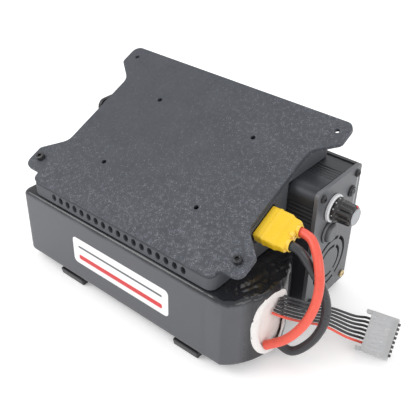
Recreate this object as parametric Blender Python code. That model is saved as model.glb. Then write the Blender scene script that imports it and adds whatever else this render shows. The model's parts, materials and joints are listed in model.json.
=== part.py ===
"""Battery discharge controller: a pouch-cell pack, a finned load box behind it and a printed wedge on top.

Design frame in millimetres: X along the pack, Y from the pack's front to the box's back, Z up from the
ground. Everything hangs from one empty that moves the design frame so that the box around the rigid
pieces stands centred on the origin.
"""

from bisect import bisect_left
from math import ceil, cos, pi, radians, sin, tan

import bmesh
import bpy
from mathutils import Matrix, Vector

MM = 0.001
GAP = 0.3                      # between pieces that touch
THROUGH = 3.0                  # how far a cutter runs on past a face
SHARP = radians(30)
SHIFT_X = -11.0                # design frame to row frame

# Rails
RAIL_TOP = 5.0
RAILS = {"rail_left": (-42.75, 21.0), "rail_right": (57.5, 19.0)}   # centre X, width
DEPTH_HALF = 59.5              # half of the whole depth, front to back

# Battery pack
PACK_X = (-84.5, 84.0)         # straight part; the nose goes on from the second
PACK_Y = (-59.5, 10.6)
PACK_Z = (RAIL_TOP + GAP, 54.75)
NOSE_REACH = 15.8
NOSE_Y = -24.0                 # where the nose stands out furthest
FILM = 1.0
OPENING = (-30.3, 29.5, 15.2, 22.5)      # centre Y, centre Z, half width, half height
CELL_COUNT = 6
CELL_PITCH = 7.6

# Load box
BOX_X = (-81.7, 92.0)          # the tube, without its end panels
BOX_Y = (11.0, 59.5)
BOX_Z = (RAIL_TOP + GAP, 93.2)
BOX_WALL = 2.5
BOSS = 4.5                     # corner bosses that the panel screws go into
PANEL = 2.7
REAR_PANEL = 2.4
EXHAUST_SLOTS = 6
SCREW_YZ = ((16.3, 88.4), (54.3, 88.4), (54.3, 10.6), (16.3, 10.6))
SCREW_R, SCREW_HOLE_R = 1.1, 1.45
SCREW_LENGTH = 11.0

# Front panel controls, as Y and Z
KNOB_AT = (29.0, 76.3)
BUTTON_AT = (28.0, 59.3)
BUTTON_TRAVEL = 2.0
LAMP_AT = (50.2, 77.4)
FAN_AT = (35.2, 31.6)
FAN_SIDE = 39.0

# Printed wedge
WEDGE_X = 75.0
WEDGE_Y = (-57.5, 55.4)
WEDGE_BASE = PACK_Z[1] + GAP
WEDGE_STEP = BOX_Z[1] + GAP    # its floor above the load box
WEDGE_FRONT_TOP = 65.5
SLOPE = radians(25)
WALL = 3.0
PLATE = 2.4                    # thickness of the sloped plate
VENTS = 18
VENT_SPAN = 108.6

# Leads
LEAD_R = 2.75
WIRE_R = 0.8
WIRES = 7
WIRE_PITCH = 2.5
PLUG_ROLL = radians(27)
PLUG_AT = (-11.2, 76.4)
PLUG_HALF = (10.9, 4.7)
PLUG_CLIP = 2.6                # corners cut as the polarity mark
PLUG_END = 95.0
SOCKET_RIM = 0.6
POLE = 4.95                    # from the plug's middle to each lead

# Balance connector: a corner on the ground, then along the wires, across them and up its thickness
CONNECTOR_CORNER = Vector((137.2, 10.3, 0.1))
ALONG = Vector((0.976, 0.219, 0.0)).normalized()
ACROSS = Vector((-0.161, 0.729, 0.665)).normalized()
UPWARD = ALONG.cross(ACROSS)
CONNECTOR_SIZE = (16.0, 25.0, 8.0)
WING = (3.5, 2.2)              # length and thickness of the guards beside the wires
POCKET = 3.4
TEETH = 8


def clear_scene():
    for thing in list(bpy.data.objects):
        bpy.data.objects.remove(thing, do_unlink=True)


def finish(name, colour, roughness, metallic=0.0):
    material = bpy.data.materials.new(name)
    material.use_nodes = True
    shader = material.node_tree.nodes["Principled BSDF"]
    shader.inputs["Base Color"].default_value = (*colour, 1.0)
    shader.inputs["Roughness"].default_value = roughness
    shader.inputs["Metallic"].default_value = metallic
    return material


# ---- outlines ----

def rounded(corners, steps=4):
    """A closed outline whose corners (a, b, radius) are turned into arcs, 'steps' pieces to a right angle."""
    outline = []
    for i, (a, b, radius) in enumerate(corners):
        here = Vector((a, b))
        if radius == 0:
            outline.append((a, b))
            continue
        before = (Vector(corners[i - 1][:2]) - here).normalized()
        after = (Vector(corners[(i + 1) % len(corners)][:2]) - here).normalized()
        half = before.angle(after) / 2
        centre = here + (before + after).normalized() * (radius / sin(half))
        first = here + before * (radius / tan(half)) - centre
        sweep = first.angle_signed(here + after * (radius / tan(half)) - centre)
        count = max(1, ceil(abs(sweep) / (pi / 2) * steps - 0.01))
        for k in range(count + 1):
            point = centre + Matrix.Rotation(-sweep * k / count, 2) @ first
            outline.append((point.x, point.y))
    return outline


def rectangle(a0, a1, b0, b1, radius=0.0, steps=4):
    return rounded([(a0, b0, radius), (a1, b0, radius), (a1, b1, radius), (a0, b1, radius)], steps)


def oval(a, b, half_a, half_b, count=32):
    angles = [2 * pi * k / count for k in range(count)]
    return [(a + half_a * cos(t), b + half_b * sin(t)) for t in angles]


def circle(a, b, radius, count=24):
    return oval(a, b, radius, radius, count)


def arc_slot(a, b, radius, width, start, end, count=8):
    """A curved slot around (a, b) between two angles."""
    angles = [start + (end - start) * k / count for k in range(count + 1)]
    outer = [(a + (radius + width / 2) * cos(t), b + (radius + width / 2) * sin(t)) for t in angles]
    inner = [(a + (radius - width / 2) * cos(t), b + (radius - width / 2) * sin(t)) for t in angles]
    return outer + inner[::-1]


# ---- solids ----

def loft(mesh, rings):
    """Closed skin over rings of equal length, with flat ends."""
    rows = [[mesh.verts.new(Vector(point) * MM) for point in ring] for ring in rings]
    for low, high in zip(rows, rows[1:]):
        for k in range(len(low)):
            mesh.faces.new((low[k - 1], low[k], high[k], high[k - 1]))
    mesh.faces.new(rows[0])
    mesh.faces.new(rows[-1])


def place(outline, height, axis):
    """Outline (a, b) as points: (Y, Z) across X, (X, Z) across Y or (X, Y) across Z."""
    if axis == "X":
        return [(height, a, b) for a, b in outline]
    if axis == "Y":
        return [(a, height, b) for a, b in outline]
    return [(a, b, height) for a, b in outline]


def prism(outline, low, high, axis="Z", mesh=None):
    mesh = mesh or bmesh.new()
    loft(mesh, [place(outline, low, axis), place(outline, high, axis)])
    return mesh


def turned(at, profile, count=24, mesh=None):
    """Profile of (X, radius) turned about the line along X through at = (Y, Z)."""
    mesh = mesh or bmesh.new()
    loft(mesh, [place(circle(*at, radius, count), x, "X") for x, radius in profile])
    return mesh


def add(name, mesh, material, pivot=(0, 0, 0)):
    """One object, with its origin on pivot."""
    bmesh.ops.recalc_face_normals(mesh, faces=mesh.faces)
    bmesh.ops.translate(mesh, verts=mesh.verts, vec=-Vector(pivot) * MM)
    data = bpy.data.meshes.new(name)
    mesh.to_mesh(data)
    mesh.free()
    data.shade_smooth()
    data.set_sharp_from_angle(angle=SHARP)
    data.materials.append(material)
    thing = bpy.data.objects.new(name, data)
    bpy.context.scene.collection.objects.link(thing)
    thing.parent = frame
    thing.location = Vector(pivot) * MM
    return thing


def combine(target, mesh, operation="DIFFERENCE"):
    """Cuts a mesh out of the target, or joins it on."""
    tool = add(f"{target.name}_{operation.lower()}_{len(target.modifiers)}", mesh, cutting)
    tool.hide_render = True
    tool.display_type = "WIRE"
    modifier = target.modifiers.new(tool.name, "BOOLEAN")
    modifier.operation = operation
    modifier.solver = "EXACT"
    modifier.object = tool
    return target


def smooth_route(route, spacing):
    """Points about 'spacing' apart on a Catmull-Rom curve through the route, with a short step at each end
    so that the end faces stand square to the curve."""
    points = [Vector(p) for p in route]
    padded = [2 * points[0] - points[1], *points, 2 * points[-1] - points[-2]]
    fine = []
    for a, b, c, d in zip(padded, padded[1:], padded[2:], padded[3:]):
        for k in range(40):
            t = k / 40
            fine.append(0.5 * (2 * b + (c - a) * t + (2 * a - 5 * b + 4 * c - d) * t**2
                               + (3 * b - a - 3 * c + d) * t**3))
    fine.append(points[-1])
    lengths = [0.0]
    for a, b in zip(fine, fine[1:]):
        lengths.append(lengths[-1] + (b - a).length)
    whole = lengths[-1]
    count = max(4, round(whole / spacing))
    wanted = [0.0, spacing / 6, *(whole * k / count for k in range(1, count)), whole - spacing / 6, whole]
    return [fine[min(bisect_left(lengths, w), len(fine) - 1)] for w in wanted]


def cord(name, route, radius, material, sides=2):
    curve = bpy.data.curves.new(name, "CURVE")
    curve.dimensions = "3D"
    curve.bevel_depth = radius * MM
    curve.bevel_resolution = sides
    curve.use_fill_caps = True
    points = smooth_route(route, radius * 4)
    spline = curve.splines.new("POLY")
    spline.points.add(len(points) - 1)
    for target, point in zip(spline.points, points):
        target.co = (*(point * MM), 1.0)
    curve.materials.append(material)
    thing = bpy.data.objects.new(name, curve)
    bpy.context.scene.collection.objects.link(thing)
    thing.parent = frame
    return thing


# ---- rails and battery pack ----

def nose_x(y, inset=0.0):
    """X of the nose's front at Y: a soft bow, steeper towards the back."""
    if y < NOSE_Y:
        side = min(1.0, (NOSE_Y - y) / (NOSE_Y - PACK_Y[0] - inset))
        bow = (1 - side**2.2) ** 0.8
    else:
        side = min(1.0, (y - NOSE_Y) / (PACK_Y[1] - inset - NOSE_Y))
        bow = (1 - side**1.6) ** 1.2
    return PACK_X[1] + NOSE_REACH * bow - inset


def pack_outline(inset, left_radius=4.0, left=None):
    """Plan of the pack: two small corners on the left and the bowed nose on the right."""
    left = PACK_X[0] + inset if left is None else left
    y0, y1 = PACK_Y[0] + inset, PACK_Y[1] - inset
    count = 16
    nose = [(nose_x(y0 + (y1 - y0) * (0.5 - 0.5 * cos(pi * k / count)), inset),
             y0 + (y1 - y0) * (0.5 - 0.5 * cos(pi * k / count))) for k in range(count + 1)]
    back, front = (nose[-1][0], y1, 0), (nose[0][0], y0, 0)
    corners = rounded([back, (left, y1, left_radius), (left, y0, left_radius), front])
    return nose + corners[1:-1]


def make_rails():
    for name, (x, width) in RAILS.items():
        foot = DEPTH_HALF - 1.2
        side = [(-DEPTH_HALF, RAIL_TOP), (-foot, 0), (foot, 0), (DEPTH_HALF, RAIL_TOP)]
        mesh = prism([(y, z) for y, z in side], x - width / 2, x + width / 2, "X")
        add(name, mesh, rail_plastic)


def make_pack():
    x0, x1 = PACK_X[0] + 2.5, PACK_X[1] - 3.5
    y0, y1 = PACK_Y[0] + 2.5, PACK_Y[1] - 2.5
    z0 = PACK_Z[0] + 2.1
    for k in range(CELL_COUNT):
        low = z0 + k * CELL_PITCH
        add(f"cell_{k + 1}", prism(rectangle(x0, x1, y0, y1, 3.0, 2), low, low + CELL_PITCH - GAP), cell_foil)
    pad = prism(pack_outline(2.3, 0.3, PACK_X[1] - 3.1), PACK_Z[0] + 2.3, PACK_Z[1] - 2.3)
    add("end_insulator", pad, insulator)
    edge = 3.2
    rings = [(edge, PACK_Z[0]), (edge * 0.3, PACK_Z[0] + edge * 0.3), (0, PACK_Z[0] + edge),
             (0, PACK_Z[1] - edge), (edge * 0.3, PACK_Z[1] - edge * 0.3), (edge, PACK_Z[1])]
    mesh = bmesh.new()
    loft(mesh, [place(pack_outline(inset), z, "Z") for inset, z in rings])
    wrap = add("battery_wrap", mesh, film)
    inner = bmesh.new()
    floor, roof = PACK_Z[0] + FILM, PACK_Z[1] - FILM
    rings = [(edge, floor), (FILM, floor + 2.2), (FILM, roof - 2.2), (edge, roof)]
    loft(inner, [place(pack_outline(inset), z, "Z") for inset, z in rings])
    combine(wrap, inner)
    combine(wrap, prism(oval(*OPENING), PACK_X[1] + 4, PACK_X[1] + 25, "X"))


# ---- load box ----

def box_outline():
    """Section of the extruded tube, with grooves along its roof and along the top of its front side."""
    y0, y1 = BOX_Y
    z0, z1 = BOX_Z
    depth = 0.8
    corners = [(y0, z0, 1.5), (y1, z0, 1.5), (y1, z1, 2.0)]
    corners += [(y1 - 4.0, z1, 0), (y1 - 4.0, z1 - depth, 0), (y1 - 15.0, z1 - depth, 0), (y1 - 15.0, z1, 0)]
    for k in range(5):
        y = y1 - 18.0 - 2.6 * k
        corners += [(y, z1, 0), (y - 0.5, z1 - depth, 0), (y - 1.0, z1 - depth, 0), (y - 1.5, z1, 0)]
    corners += [(y0, z1, 7.0)]
    for k in range(5):
        z = z1 - 10.5 - 2.6 * k
        corners += [(y0, z, 0), (y0 + depth, z - 0.5, 0), (y0 + depth, z - 1.0, 0), (y0, z - 1.5, 0)]
    return rounded(corners, 7)


def box_room():
    """Section of the room inside the tube: a rectangle with a screw boss in each corner."""
    y0, y1 = BOX_Y[0] + BOX_WALL, BOX_Y[1] - BOX_WALL
    z0, z1 = BOX_Z[0] + BOX_WALL, BOX_Z[1] - BOX_WALL
    b, top = BOSS, BOSS + 1.5
    return [(y0 + b, z0), (y1 - b, z0), (y1 - b, z0 + b), (y1, z0 + b), (y1, z1 - b),
            (y1 - b, z1 - b), (y1 - b, z1), (y0 + top, z1), (y0 + top, z1 - top), (y0, z1 - top),
            (y0, z0 + b), (y0 + b, z0 + b)]


def make_box():
    tube = add("case_shell", prism(box_outline(), *BOX_X, "X"), anodised)
    combine(tube, prism(box_room(), BOX_X[0] - THROUGH, BOX_X[1] + THROUGH, "X"))
    holes = bmesh.new()
    for y, z in SCREW_YZ:
        for low, high in ((BOX_X[0] - THROUGH, BOX_X[0] + SCREW_LENGTH),
                          (BOX_X[1] - SCREW_LENGTH, BOX_X[1] + THROUGH)):
            prism(circle(y, z, SCREW_HOLE_R, 12), low, high, "X", holes)
    feed = circle(FEED_AT[0], FEED_AT[2], FEED_R + 1.2, 16)
    prism(feed, BOX_Y[0] - THROUGH, BOX_Y[0] + BOX_WALL + THROUGH, "Y", holes)
    combine(tube, holes)

    front = BOX_X[1] + GAP
    y0, y1, z0, z1 = BOX_Y[0], BOX_Y[1], BOX_Z[0], BOX_Z[1]
    plate = rounded([(y0, z0, 2.0), (y1, z0, 2.0), (y1, z1, 2.0), (y0, z1, 3.0)])
    panel = add("front_panel", prism(plate, front, front + PANEL, "X"), panel_metal)
    holes = bmesh.new()
    low, high = front - THROUGH, front + PANEL + THROUGH
    for y, z in SCREW_YZ:
        prism(circle(y, z, SCREW_HOLE_R, 12), low, high, "X", holes)
    prism(circle(*KNOB_AT, 4.6, 20), low, high, "X", holes)
    prism(circle(*BUTTON_AT, 6.4), low, high, "X", holes)
    prism(circle(*LAMP_AT, 2.9, 16), low, high, "X", holes)
    for radius, width in ((11.0, 2.0), (17.0, 2.3)):
        web = 2.6 / radius
        for spoke in (60, 180, 300):
            start = radians(spoke) + web / 2
            slot = arc_slot(*FAN_AT, radius, width, start, start + 2 * pi / 3 - web, 12)
            prism(slot, low, high, "X", holes)
    combine(panel, holes)

    back = BOX_X[0] - GAP
    outside = back - REAR_PANEL
    plate = rounded([(y0, z0, 2.0), (y1, z0, 2.0), (y1, z1, 2.0), (y0, z1, 5.0)])
    rear = add("rear_panel", prism(plate, outside, back, "X"), rear_metal)
    holes = bmesh.new()
    low, high = outside - THROUGH, back + THROUGH
    for y, z in SCREW_YZ:
        prism(circle(y, z, SCREW_HOLE_R, 12), low, high, "X", holes)
    for k in range(EXHAUST_SLOTS):
        z = 28.0 + 7.0 * k
        prism(rectangle(20.0, 50.5, z - 1.4, z + 1.4, 1.3, 2), low, high, "X", holes)
    combine(rear, holes)

    for k, at in enumerate(SCREW_YZ):
        metal = brass if k == 2 else black_steel
        face = front + PANEL + GAP
        add(f"front_screw_{k + 1}", screw_mesh(at, face, 1), metal)
        add(f"rear_screw_{k + 1}", screw_mesh(at, outside - GAP, -1), black_steel)


def screw_mesh(at, face, way):
    """Pan-head screw along X, its head standing on the face and its shank going back into the box."""
    profile = [(-SCREW_LENGTH, SCREW_R), (0, SCREW_R), (0, 2.5), (1.1, 2.5), (1.7, 1.7)]
    mesh = bmesh.new()
    loft(mesh, [place(circle(*at, radius, 12), face + way * x, "X") for x, radius in profile])
    return mesh


# ---- front controls ----

def make_controls():
    panel_back = BOX_X[1]
    panel_front = BOX_X[1] + GAP + PANEL
    y, z = KNOB_AT
    pot = add("pot_body", turned(KNOB_AT, [(79.0, 8.0), (panel_back - 0.2, 8.0), (panel_back - 0.2, 4.2),
                                         (panel_front + 2.8, 4.2)]), black_plastic)
    combine(pot, prism(circle(y, z, 3.2, 20), 88.0, 105.0, "X"))
    nut = add("pot_nut", prism(circle(y, z, 6.3, 6), panel_front + GAP, panel_front + 2.2, "X"), steel)
    combine(nut, prism(circle(y, z, 4.5, 20), 90.0, 105.0, "X"))
    ring = add("scale_ring", turned(KNOB_AT, [(panel_front + GAP, 8.9), (panel_front + 1.8, 8.9),
                                            (panel_front + 2.6, 8.4)], 36), white_plastic)
    combine(ring, prism(circle(y, z, 6.8, 24), 90.0, 105.0, "X"))

    add("pot_shaft", turned(KNOB_AT, [(89.0, 2.8), (107.0, 2.8)], 16), steel, pivot=(89.0, y, z))
    base, top = panel_front + 3.2, 110.0
    knob = add("knob", knob_mesh(base, top), knob_plastic, pivot=(base, y, z))
    bore = prism(circle(y, z, 3.15, 16), base - 3, 107.4, "X")
    combine(knob, bore)
    add("knob_cap", turned(KNOB_AT, [(top + GAP, 5.4), (top + 0.7, 5.4), (top + 1.0, 4.9)]), silver,
        pivot=(top + GAP, y, z))

    cap = [(panel_front - 4.5, 5.9), (panel_front + 3.2, 5.9), (panel_front + 4.0, 5.0)]
    add("button_cap", turned(BUTTON_AT, cap), panel_metal, pivot=(panel_front, *BUTTON_AT))
    bezel = add("button_bezel", turned(BUTTON_AT, [(panel_front + GAP, 7.8), (panel_front + 0.9, 7.6),
                                                   (panel_front + 1.6, 7.0)]), panel_metal)
    combine(bezel, prism(circle(*BUTTON_AT, 6.3), 90.0, 105.0, "X"))
    y, z = BUTTON_AT
    add("button_switch", prism(rectangle(y - 6, y + 6, z - 6, z + 6),
                               79.0, panel_front - 4.5 - BUTTON_TRAVEL - 0.5, "X"), black_plastic)

    bezel = add("lamp_bezel", turned(LAMP_AT, [(panel_front + GAP, 3.9), (panel_front + 1.3, 3.6)], 20),
                black_plastic)
    combine(bezel, prism(circle(*LAMP_AT, 2.8, 16), 90.0, 105.0, "X"))
    lens = [(panel_back - 3.5, 2.5), (panel_front + 1.2, 2.5), (panel_front + 2.4, 1.9),
            (panel_front + 3.0, 0.9)]
    add("lamp", turned(LAMP_AT, lens, 16), lamp_glass)


def knob_mesh(base, top):
    """A plain skirt with a fluted grip on it, narrowing a little to the front."""
    count, flutes = 72, 18

    def ring(x, radius, depth):
        return [(x, KNOB_AT[0] + (radius - depth * (0.5 - 0.5 * cos(flutes * t))) * cos(t),
                 KNOB_AT[1] + (radius - depth * (0.5 - 0.5 * cos(flutes * t))) * sin(t))
                for t in (2 * pi * k / count for k in range(count))]

    mesh = bmesh.new()
    loft(mesh, [ring(base, 8.0, 0), ring(base + 2.0, 8.0, 0), ring(base + 3.4, 7.0, 0.5),
                ring(top - 0.8, 6.6, 0.5), ring(top, 6.0, 0)])
    return mesh


def make_fan():
    y, z = FAN_AT
    half = FAN_SIDE / 2
    low, high = 81.0, 91.5
    body = add("fan_frame", prism(rectangle(y - half, y + half, z - half, z + half, 6.5, 3), low, high, "X"),
               black_plastic)
    combine(body, prism(circle(y, z, 18.7, 32), low - 3, high + 3, "X"))
    stay = prism(circle(y, z, 7.5, 24), low, low + 1.2, "X")
    for spoke in (30, 150, 270):
        t = radians(spoke)
        across, out = Vector((-sin(t), cos(t))), Vector((cos(t), sin(t)))
        ends = ((6.5, -1.2), (19.1, -1.2), (19.1, 1.2), (6.5, 1.2))
        bar = [Vector(FAN_AT) + out * r + across * w for r, w in ends]
        arm = prism([tuple(p) for p in bar], low + 0.1, low + 1.1, "X")
        combine(body, arm, "UNION")
    combine(body, stay, "UNION")

    hub = turned(FAN_AT, [(low + 1.7, 7.8), (high - 1.6, 7.8), (high - 0.8, 7.0)])
    rotor = add("fan_rotor", hub, fan_plastic, pivot=(low + 1.7, y, z))
    blades = bmesh.new()
    for k in range(7):
        t = 2 * pi * k / 7
        rings = []
        for r in (7.0, 12.5, 18.0):
            pitch, chord = radians(52 - 1.2 * (r - 7)), 6.6 + 0.1 * (r - 7)
            out, side = Vector((0, cos(t), sin(t))), Vector((0, -sin(t), cos(t)))
            along = Vector((1, 0, 0)) * cos(pitch) + side * sin(pitch)
            thick = Vector((1, 0, 0)) * -sin(pitch) + side * cos(pitch)
            centre = Vector((0.5 * (low + high) + 0.5, y, z)) + out * r
            rings.append([centre + along * a * chord / 2 + thick * b * 0.45
                          for a, b in ((-1, -1), (1, -1), (1, 1), (-1, 1))])
        loft(blades, rings)
    combine(rotor, blades, "UNION")


# ---- inside the load box ----

FEED_AT = (38.0, 11.0, 76.0)   # where the feed cable goes through the box's front side
FEED_R = 3.0
BOARD_TOP = BOX_Z[0] + BOX_WALL + BOSS + GAP + 1.6


def make_electronics():
    add("control_board", prism(rectangle(-79.0, 76.0, 14.0, 56.5), BOARD_TOP - 1.6, BOARD_TOP), board_green)
    seat = BOARD_TOP + GAP
    for k in range(3):
        x = -58.0 + 37.0 * k
        mesh = prism(rectangle(x, x + 16.0, 24.0, 45.0), seat, seat + 4.0)
        add(f"power_transistor_{k + 1}", mesh, black_plastic)
    comb = [(18.0, 0.0)]
    for k in range(8):
        y = 18.0 + 4.6 * k
        comb += [(y, 44.0), (y + 1.6, 44.0), (y + 1.6, 4.0), (y + 4.6, 4.0)]
    comb = comb[:-1]
    comb[-1] = (comb[-1][0], 0.0)
    base = seat + 4.0 + GAP
    add("heat_sink", prism([(y, base + z) for y, z in comb], -66.0, 36.0, "X"), aluminium)
    for k, x in enumerate((52.0, 67.0)):
        add(f"capacitor_{k + 1}", prism(circle(x, 46.0, 6.0, 20), seat, seat + 22.0), capacitor_sleeve)
    add("terminal_block", prism(rectangle(46.0, 66.0, 17.0, 30.0), seat, seat + 12.0), terminal_green)
    end = (56.0, 23.5, seat + 12.0 + GAP)
    route = [(PLUG_X0 - SOCKET_DEPTH - GAP, *PLUG_AT), (54.0, -10.5, 76.6), (43.0, -6.0, 76.2),
             (38.1, 3.0, 76.0), FEED_AT, (38.0, 19.0, 75.4), (42.0, 24.0, 68.0), (49.0, 24.5, 58.0), (54.8, 23.5, 50.0),
             (end[0], end[1], end[2] + 8.0), end]
    cord("feed_cable", route, FEED_R, rubber)


# ---- printed wedge ----

def slope_z(y):
    return WEDGE_FRONT_TOP + tan(SLOPE) * (y - WEDGE_Y[0])


def on_plate(x, along, above=0.0):
    """A point of the sloped plate: X, the way up the slope from its front edge, and the height above it."""
    return Vector((x, WEDGE_Y[0] + along * cos(SLOPE) - above * sin(SLOPE),
                   WEDGE_FRONT_TOP + along * sin(SLOPE) + above * cos(SLOPE)))


PLATE_LENGTH = (WEDGE_Y[1] - WEDGE_Y[0]) / cos(SLOPE)
EAR_HOLES = [(81.4, 15.7), (-81.4, 15.7), (81.4, 115.9), (-81.4, 115.9)]
INNER_HOLES = [(38.3, 33.0), (-38.3, 33.0), (38.3, 90.4), (-38.3, 90.4)]


def plate_outline():
    """Half of the plate's outline and its mirror image: a waisted rectangle with an ear at each corner."""
    w = WEDGE_X - 0.6
    half = [(w, 0, 4.0), (w, 6.4, 2.2), (89.0, 6.4, 5.5), (89.0, 22.0, 3.0), (w, 35.5, 8.0), (w, 96.5, 8.0),
            (89.0, 108.5, 4.0), (89.0, PLATE_LENGTH, 5.5)]
    return rounded(half + [(-x, y, r) for x, y, r in reversed(half)], 5)


def sloped(outline, low, high, mesh=None):
    mesh = mesh or bmesh.new()
    loft(mesh, [[on_plate(x, along, above) for x, along in outline] for above in (low, high)])
    return mesh


def make_wedge():
    under = (PLATE + GAP) / cos(SLOPE)
    y0, y1 = WEDGE_Y[0] + 0.4, WEDGE_Y[1] - 0.6
    step = BOX_Y[0] - GAP - GAP
    side = [(y0, WEDGE_BASE), (step, WEDGE_BASE), (step, WEDGE_STEP), (y1, WEDGE_STEP),
            (y1, slope_z(y1) - under), (y0, slope_z(y0) - under)]
    body = prism(side, -WEDGE_X, WEDGE_X, "X")
    upright = [e for e in body.edges if abs(e.verts[0].co.z - e.verts[1].co.z) > 0.003
               and abs(e.verts[0].co.y - e.verts[1].co.y) < 1e-6 and abs(e.verts[0].co.y - step * MM) > 1e-3]
    bmesh.ops.bevel(body, geom=upright, offset=5.0 * MM, segments=4, profile=0.5, affect="EDGES")
    wedge = add("printed_housing", body, printed)
    room = [(y0 + WALL, WEDGE_BASE - 5), (step - WALL, WEDGE_BASE - 5), (step - WALL, WEDGE_STEP + WALL),
            (y1 - WALL, WEDGE_STEP + WALL), (y1 - WALL, slope_z(y1) + 5), (y0 + WALL, slope_z(y1) + 5)]
    combine(wedge, prism(room, -WEDGE_X + WALL, WEDGE_X - WALL, "X"))
    holes = bmesh.new()
    for k in range(VENTS):
        x = -VENT_SPAN / 2 + VENT_SPAN * k / (VENTS - 1)
        prism(oval(x, 59.6, 1.9, 2.5, 16), y0 - THROUGH, y0 + WALL + THROUGH, "Y", holes)
    rim = SOCKET_RIM + GAP
    hole = socket_outline(PLUG_HALF[0] + rim, PLUG_HALF[1] + rim)
    prism(hole, WEDGE_X - WALL - THROUGH, WEDGE_X + THROUGH, "X", holes)
    feed = circle(FEED_AT[0], FEED_AT[2], FEED_R + 1.2, 16)
    prism(feed, step - WALL - THROUGH, step + THROUGH, "Y", holes)
    combine(wedge, holes)
    plate = add("sloped_plate", sloped(plate_outline(), -PLATE, 0.0), printed)
    holes = bmesh.new()
    for x, along in EAR_HOLES + INNER_HOLES:
        sloped(circle(x, along, 1.6, 12), -PLATE - 3, 3, holes)
    combine(plate, holes)
    for k, (x, along) in enumerate(EAR_HOLES[:2]):
        mesh = bmesh.new()
        loft(mesh, [[on_plate(x + r * cos(t), along + r * sin(t), above)
                     for t in (2 * pi * n / 18 for n in range(18))]
                    for above, r in ((-8.0, 1.25), (GAP, 1.25), (GAP, 2.75), (2.9, 2.75), (3.3, 2.4))])
        cap = add(f"ear_screw_{k + 1}", mesh, black_steel)
        key = [(x + 1.45 * cos(pi * n / 3), along + 1.45 * sin(pi * n / 3)) for n in range(6)]
        combine(cap, sloped(key, 1.6, 6.0))


# ---- power plug and cords ----

PLUG_X0 = WEDGE_X + GAP
SOCKET_DEPTH = 8.0


def socket_outline(half_width, half_height, clipped=0.0):
    """Rounded rectangle rolled about X at the plug's place; 'clipped' cuts its two lower corners."""
    w, h, c = half_width, half_height, clipped
    flat = [(-w, -h + c, 0.6), (-w + c, -h, 0.6), (w - c, -h, 0.6), (w, -h + c, 0.6),
            (w, h, 1.2), (-w, h, 1.2)]
    if not clipped:
        flat = [(-w, -h, 2.0), (w, -h, 2.0), (w, h, 2.0), (-w, h, 2.0)]
    roll = Matrix.Rotation(PLUG_ROLL, 2)
    return [tuple(Vector(PLUG_AT) + roll @ Vector(p)) for p in rounded(flat, 2)]


def make_plug():
    w, h = PLUG_HALF
    socket = socket_outline(w + SOCKET_RIM, h + SOCKET_RIM)
    add("power_socket", prism(socket, PLUG_X0 - SOCKET_DEPTH, WEDGE_X, "X"), black_plastic)
    mesh = bmesh.new()
    # X from the plug's face, and how much wider or narrower the section is there
    sections = [(0.0, 0.0), (5.0, 0.0), (5.01, 0.3), (7.0, 0.3), (7.01, 0.0), (14.0, 0.0), (16.0, -0.8),
                (PLUG_END - PLUG_X0, -1.0)]
    loft(mesh, [place(socket_outline(w + grow, h + grow, PLUG_CLIP), PLUG_X0 + x, "X")
                for x, grow in sections])
    add("power_plug", mesh, plug_yellow)


def plug_exit(side):
    """Centre of a lead where it leaves the plug: side 1 is the upper one, -1 the lower."""
    roll = Matrix.Rotation(PLUG_ROLL, 2)
    y, z = Vector(PLUG_AT) + roll @ Vector((side * POLE, 0))
    return Vector((PLUG_END + 2 * GAP, y, z))


LEAD_START = 1.9               # the leads stop this far in front of the insulator, on the slant of its face


def make_leads():
    red_end, black_end = plug_exit(1), plug_exit(-1)
    red = [red_end, red_end + Vector((3.4, 0, 0)), (104.2, -7.9, 77.9), (109.4, -11.0, 74.6),
           (114.6, -15.0, 68.6), (118.3, -18.6, 59.4), (119.1, -22.4, 47.6), (116.0, -26.6, 34.9), (108.6, -31.0, 22.8),
           (nose_x(-35.2, 2.3) + LEAD_START, -35.2, 14.4)]
    black = [black_end, black_end + Vector((3.6, 0, 0)), (103.6, -15.2, 72.0), (110.8, -13.9, 63.2),
             (117.4, -12.1, 52.4), (121.4, -12.2, 40.8), (121.6, -14.4, 28.4), (117.4, -18.6, 16.4),
             (109.4, -24.0, 8.6), (nose_x(-26.6, 2.3) + LEAD_START, -26.6, 12.2)]
    cord("lead_red", red, LEAD_R, red_silicone, 3)
    cord("lead_black", black, LEAD_R, black_silicone, 3)


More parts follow.
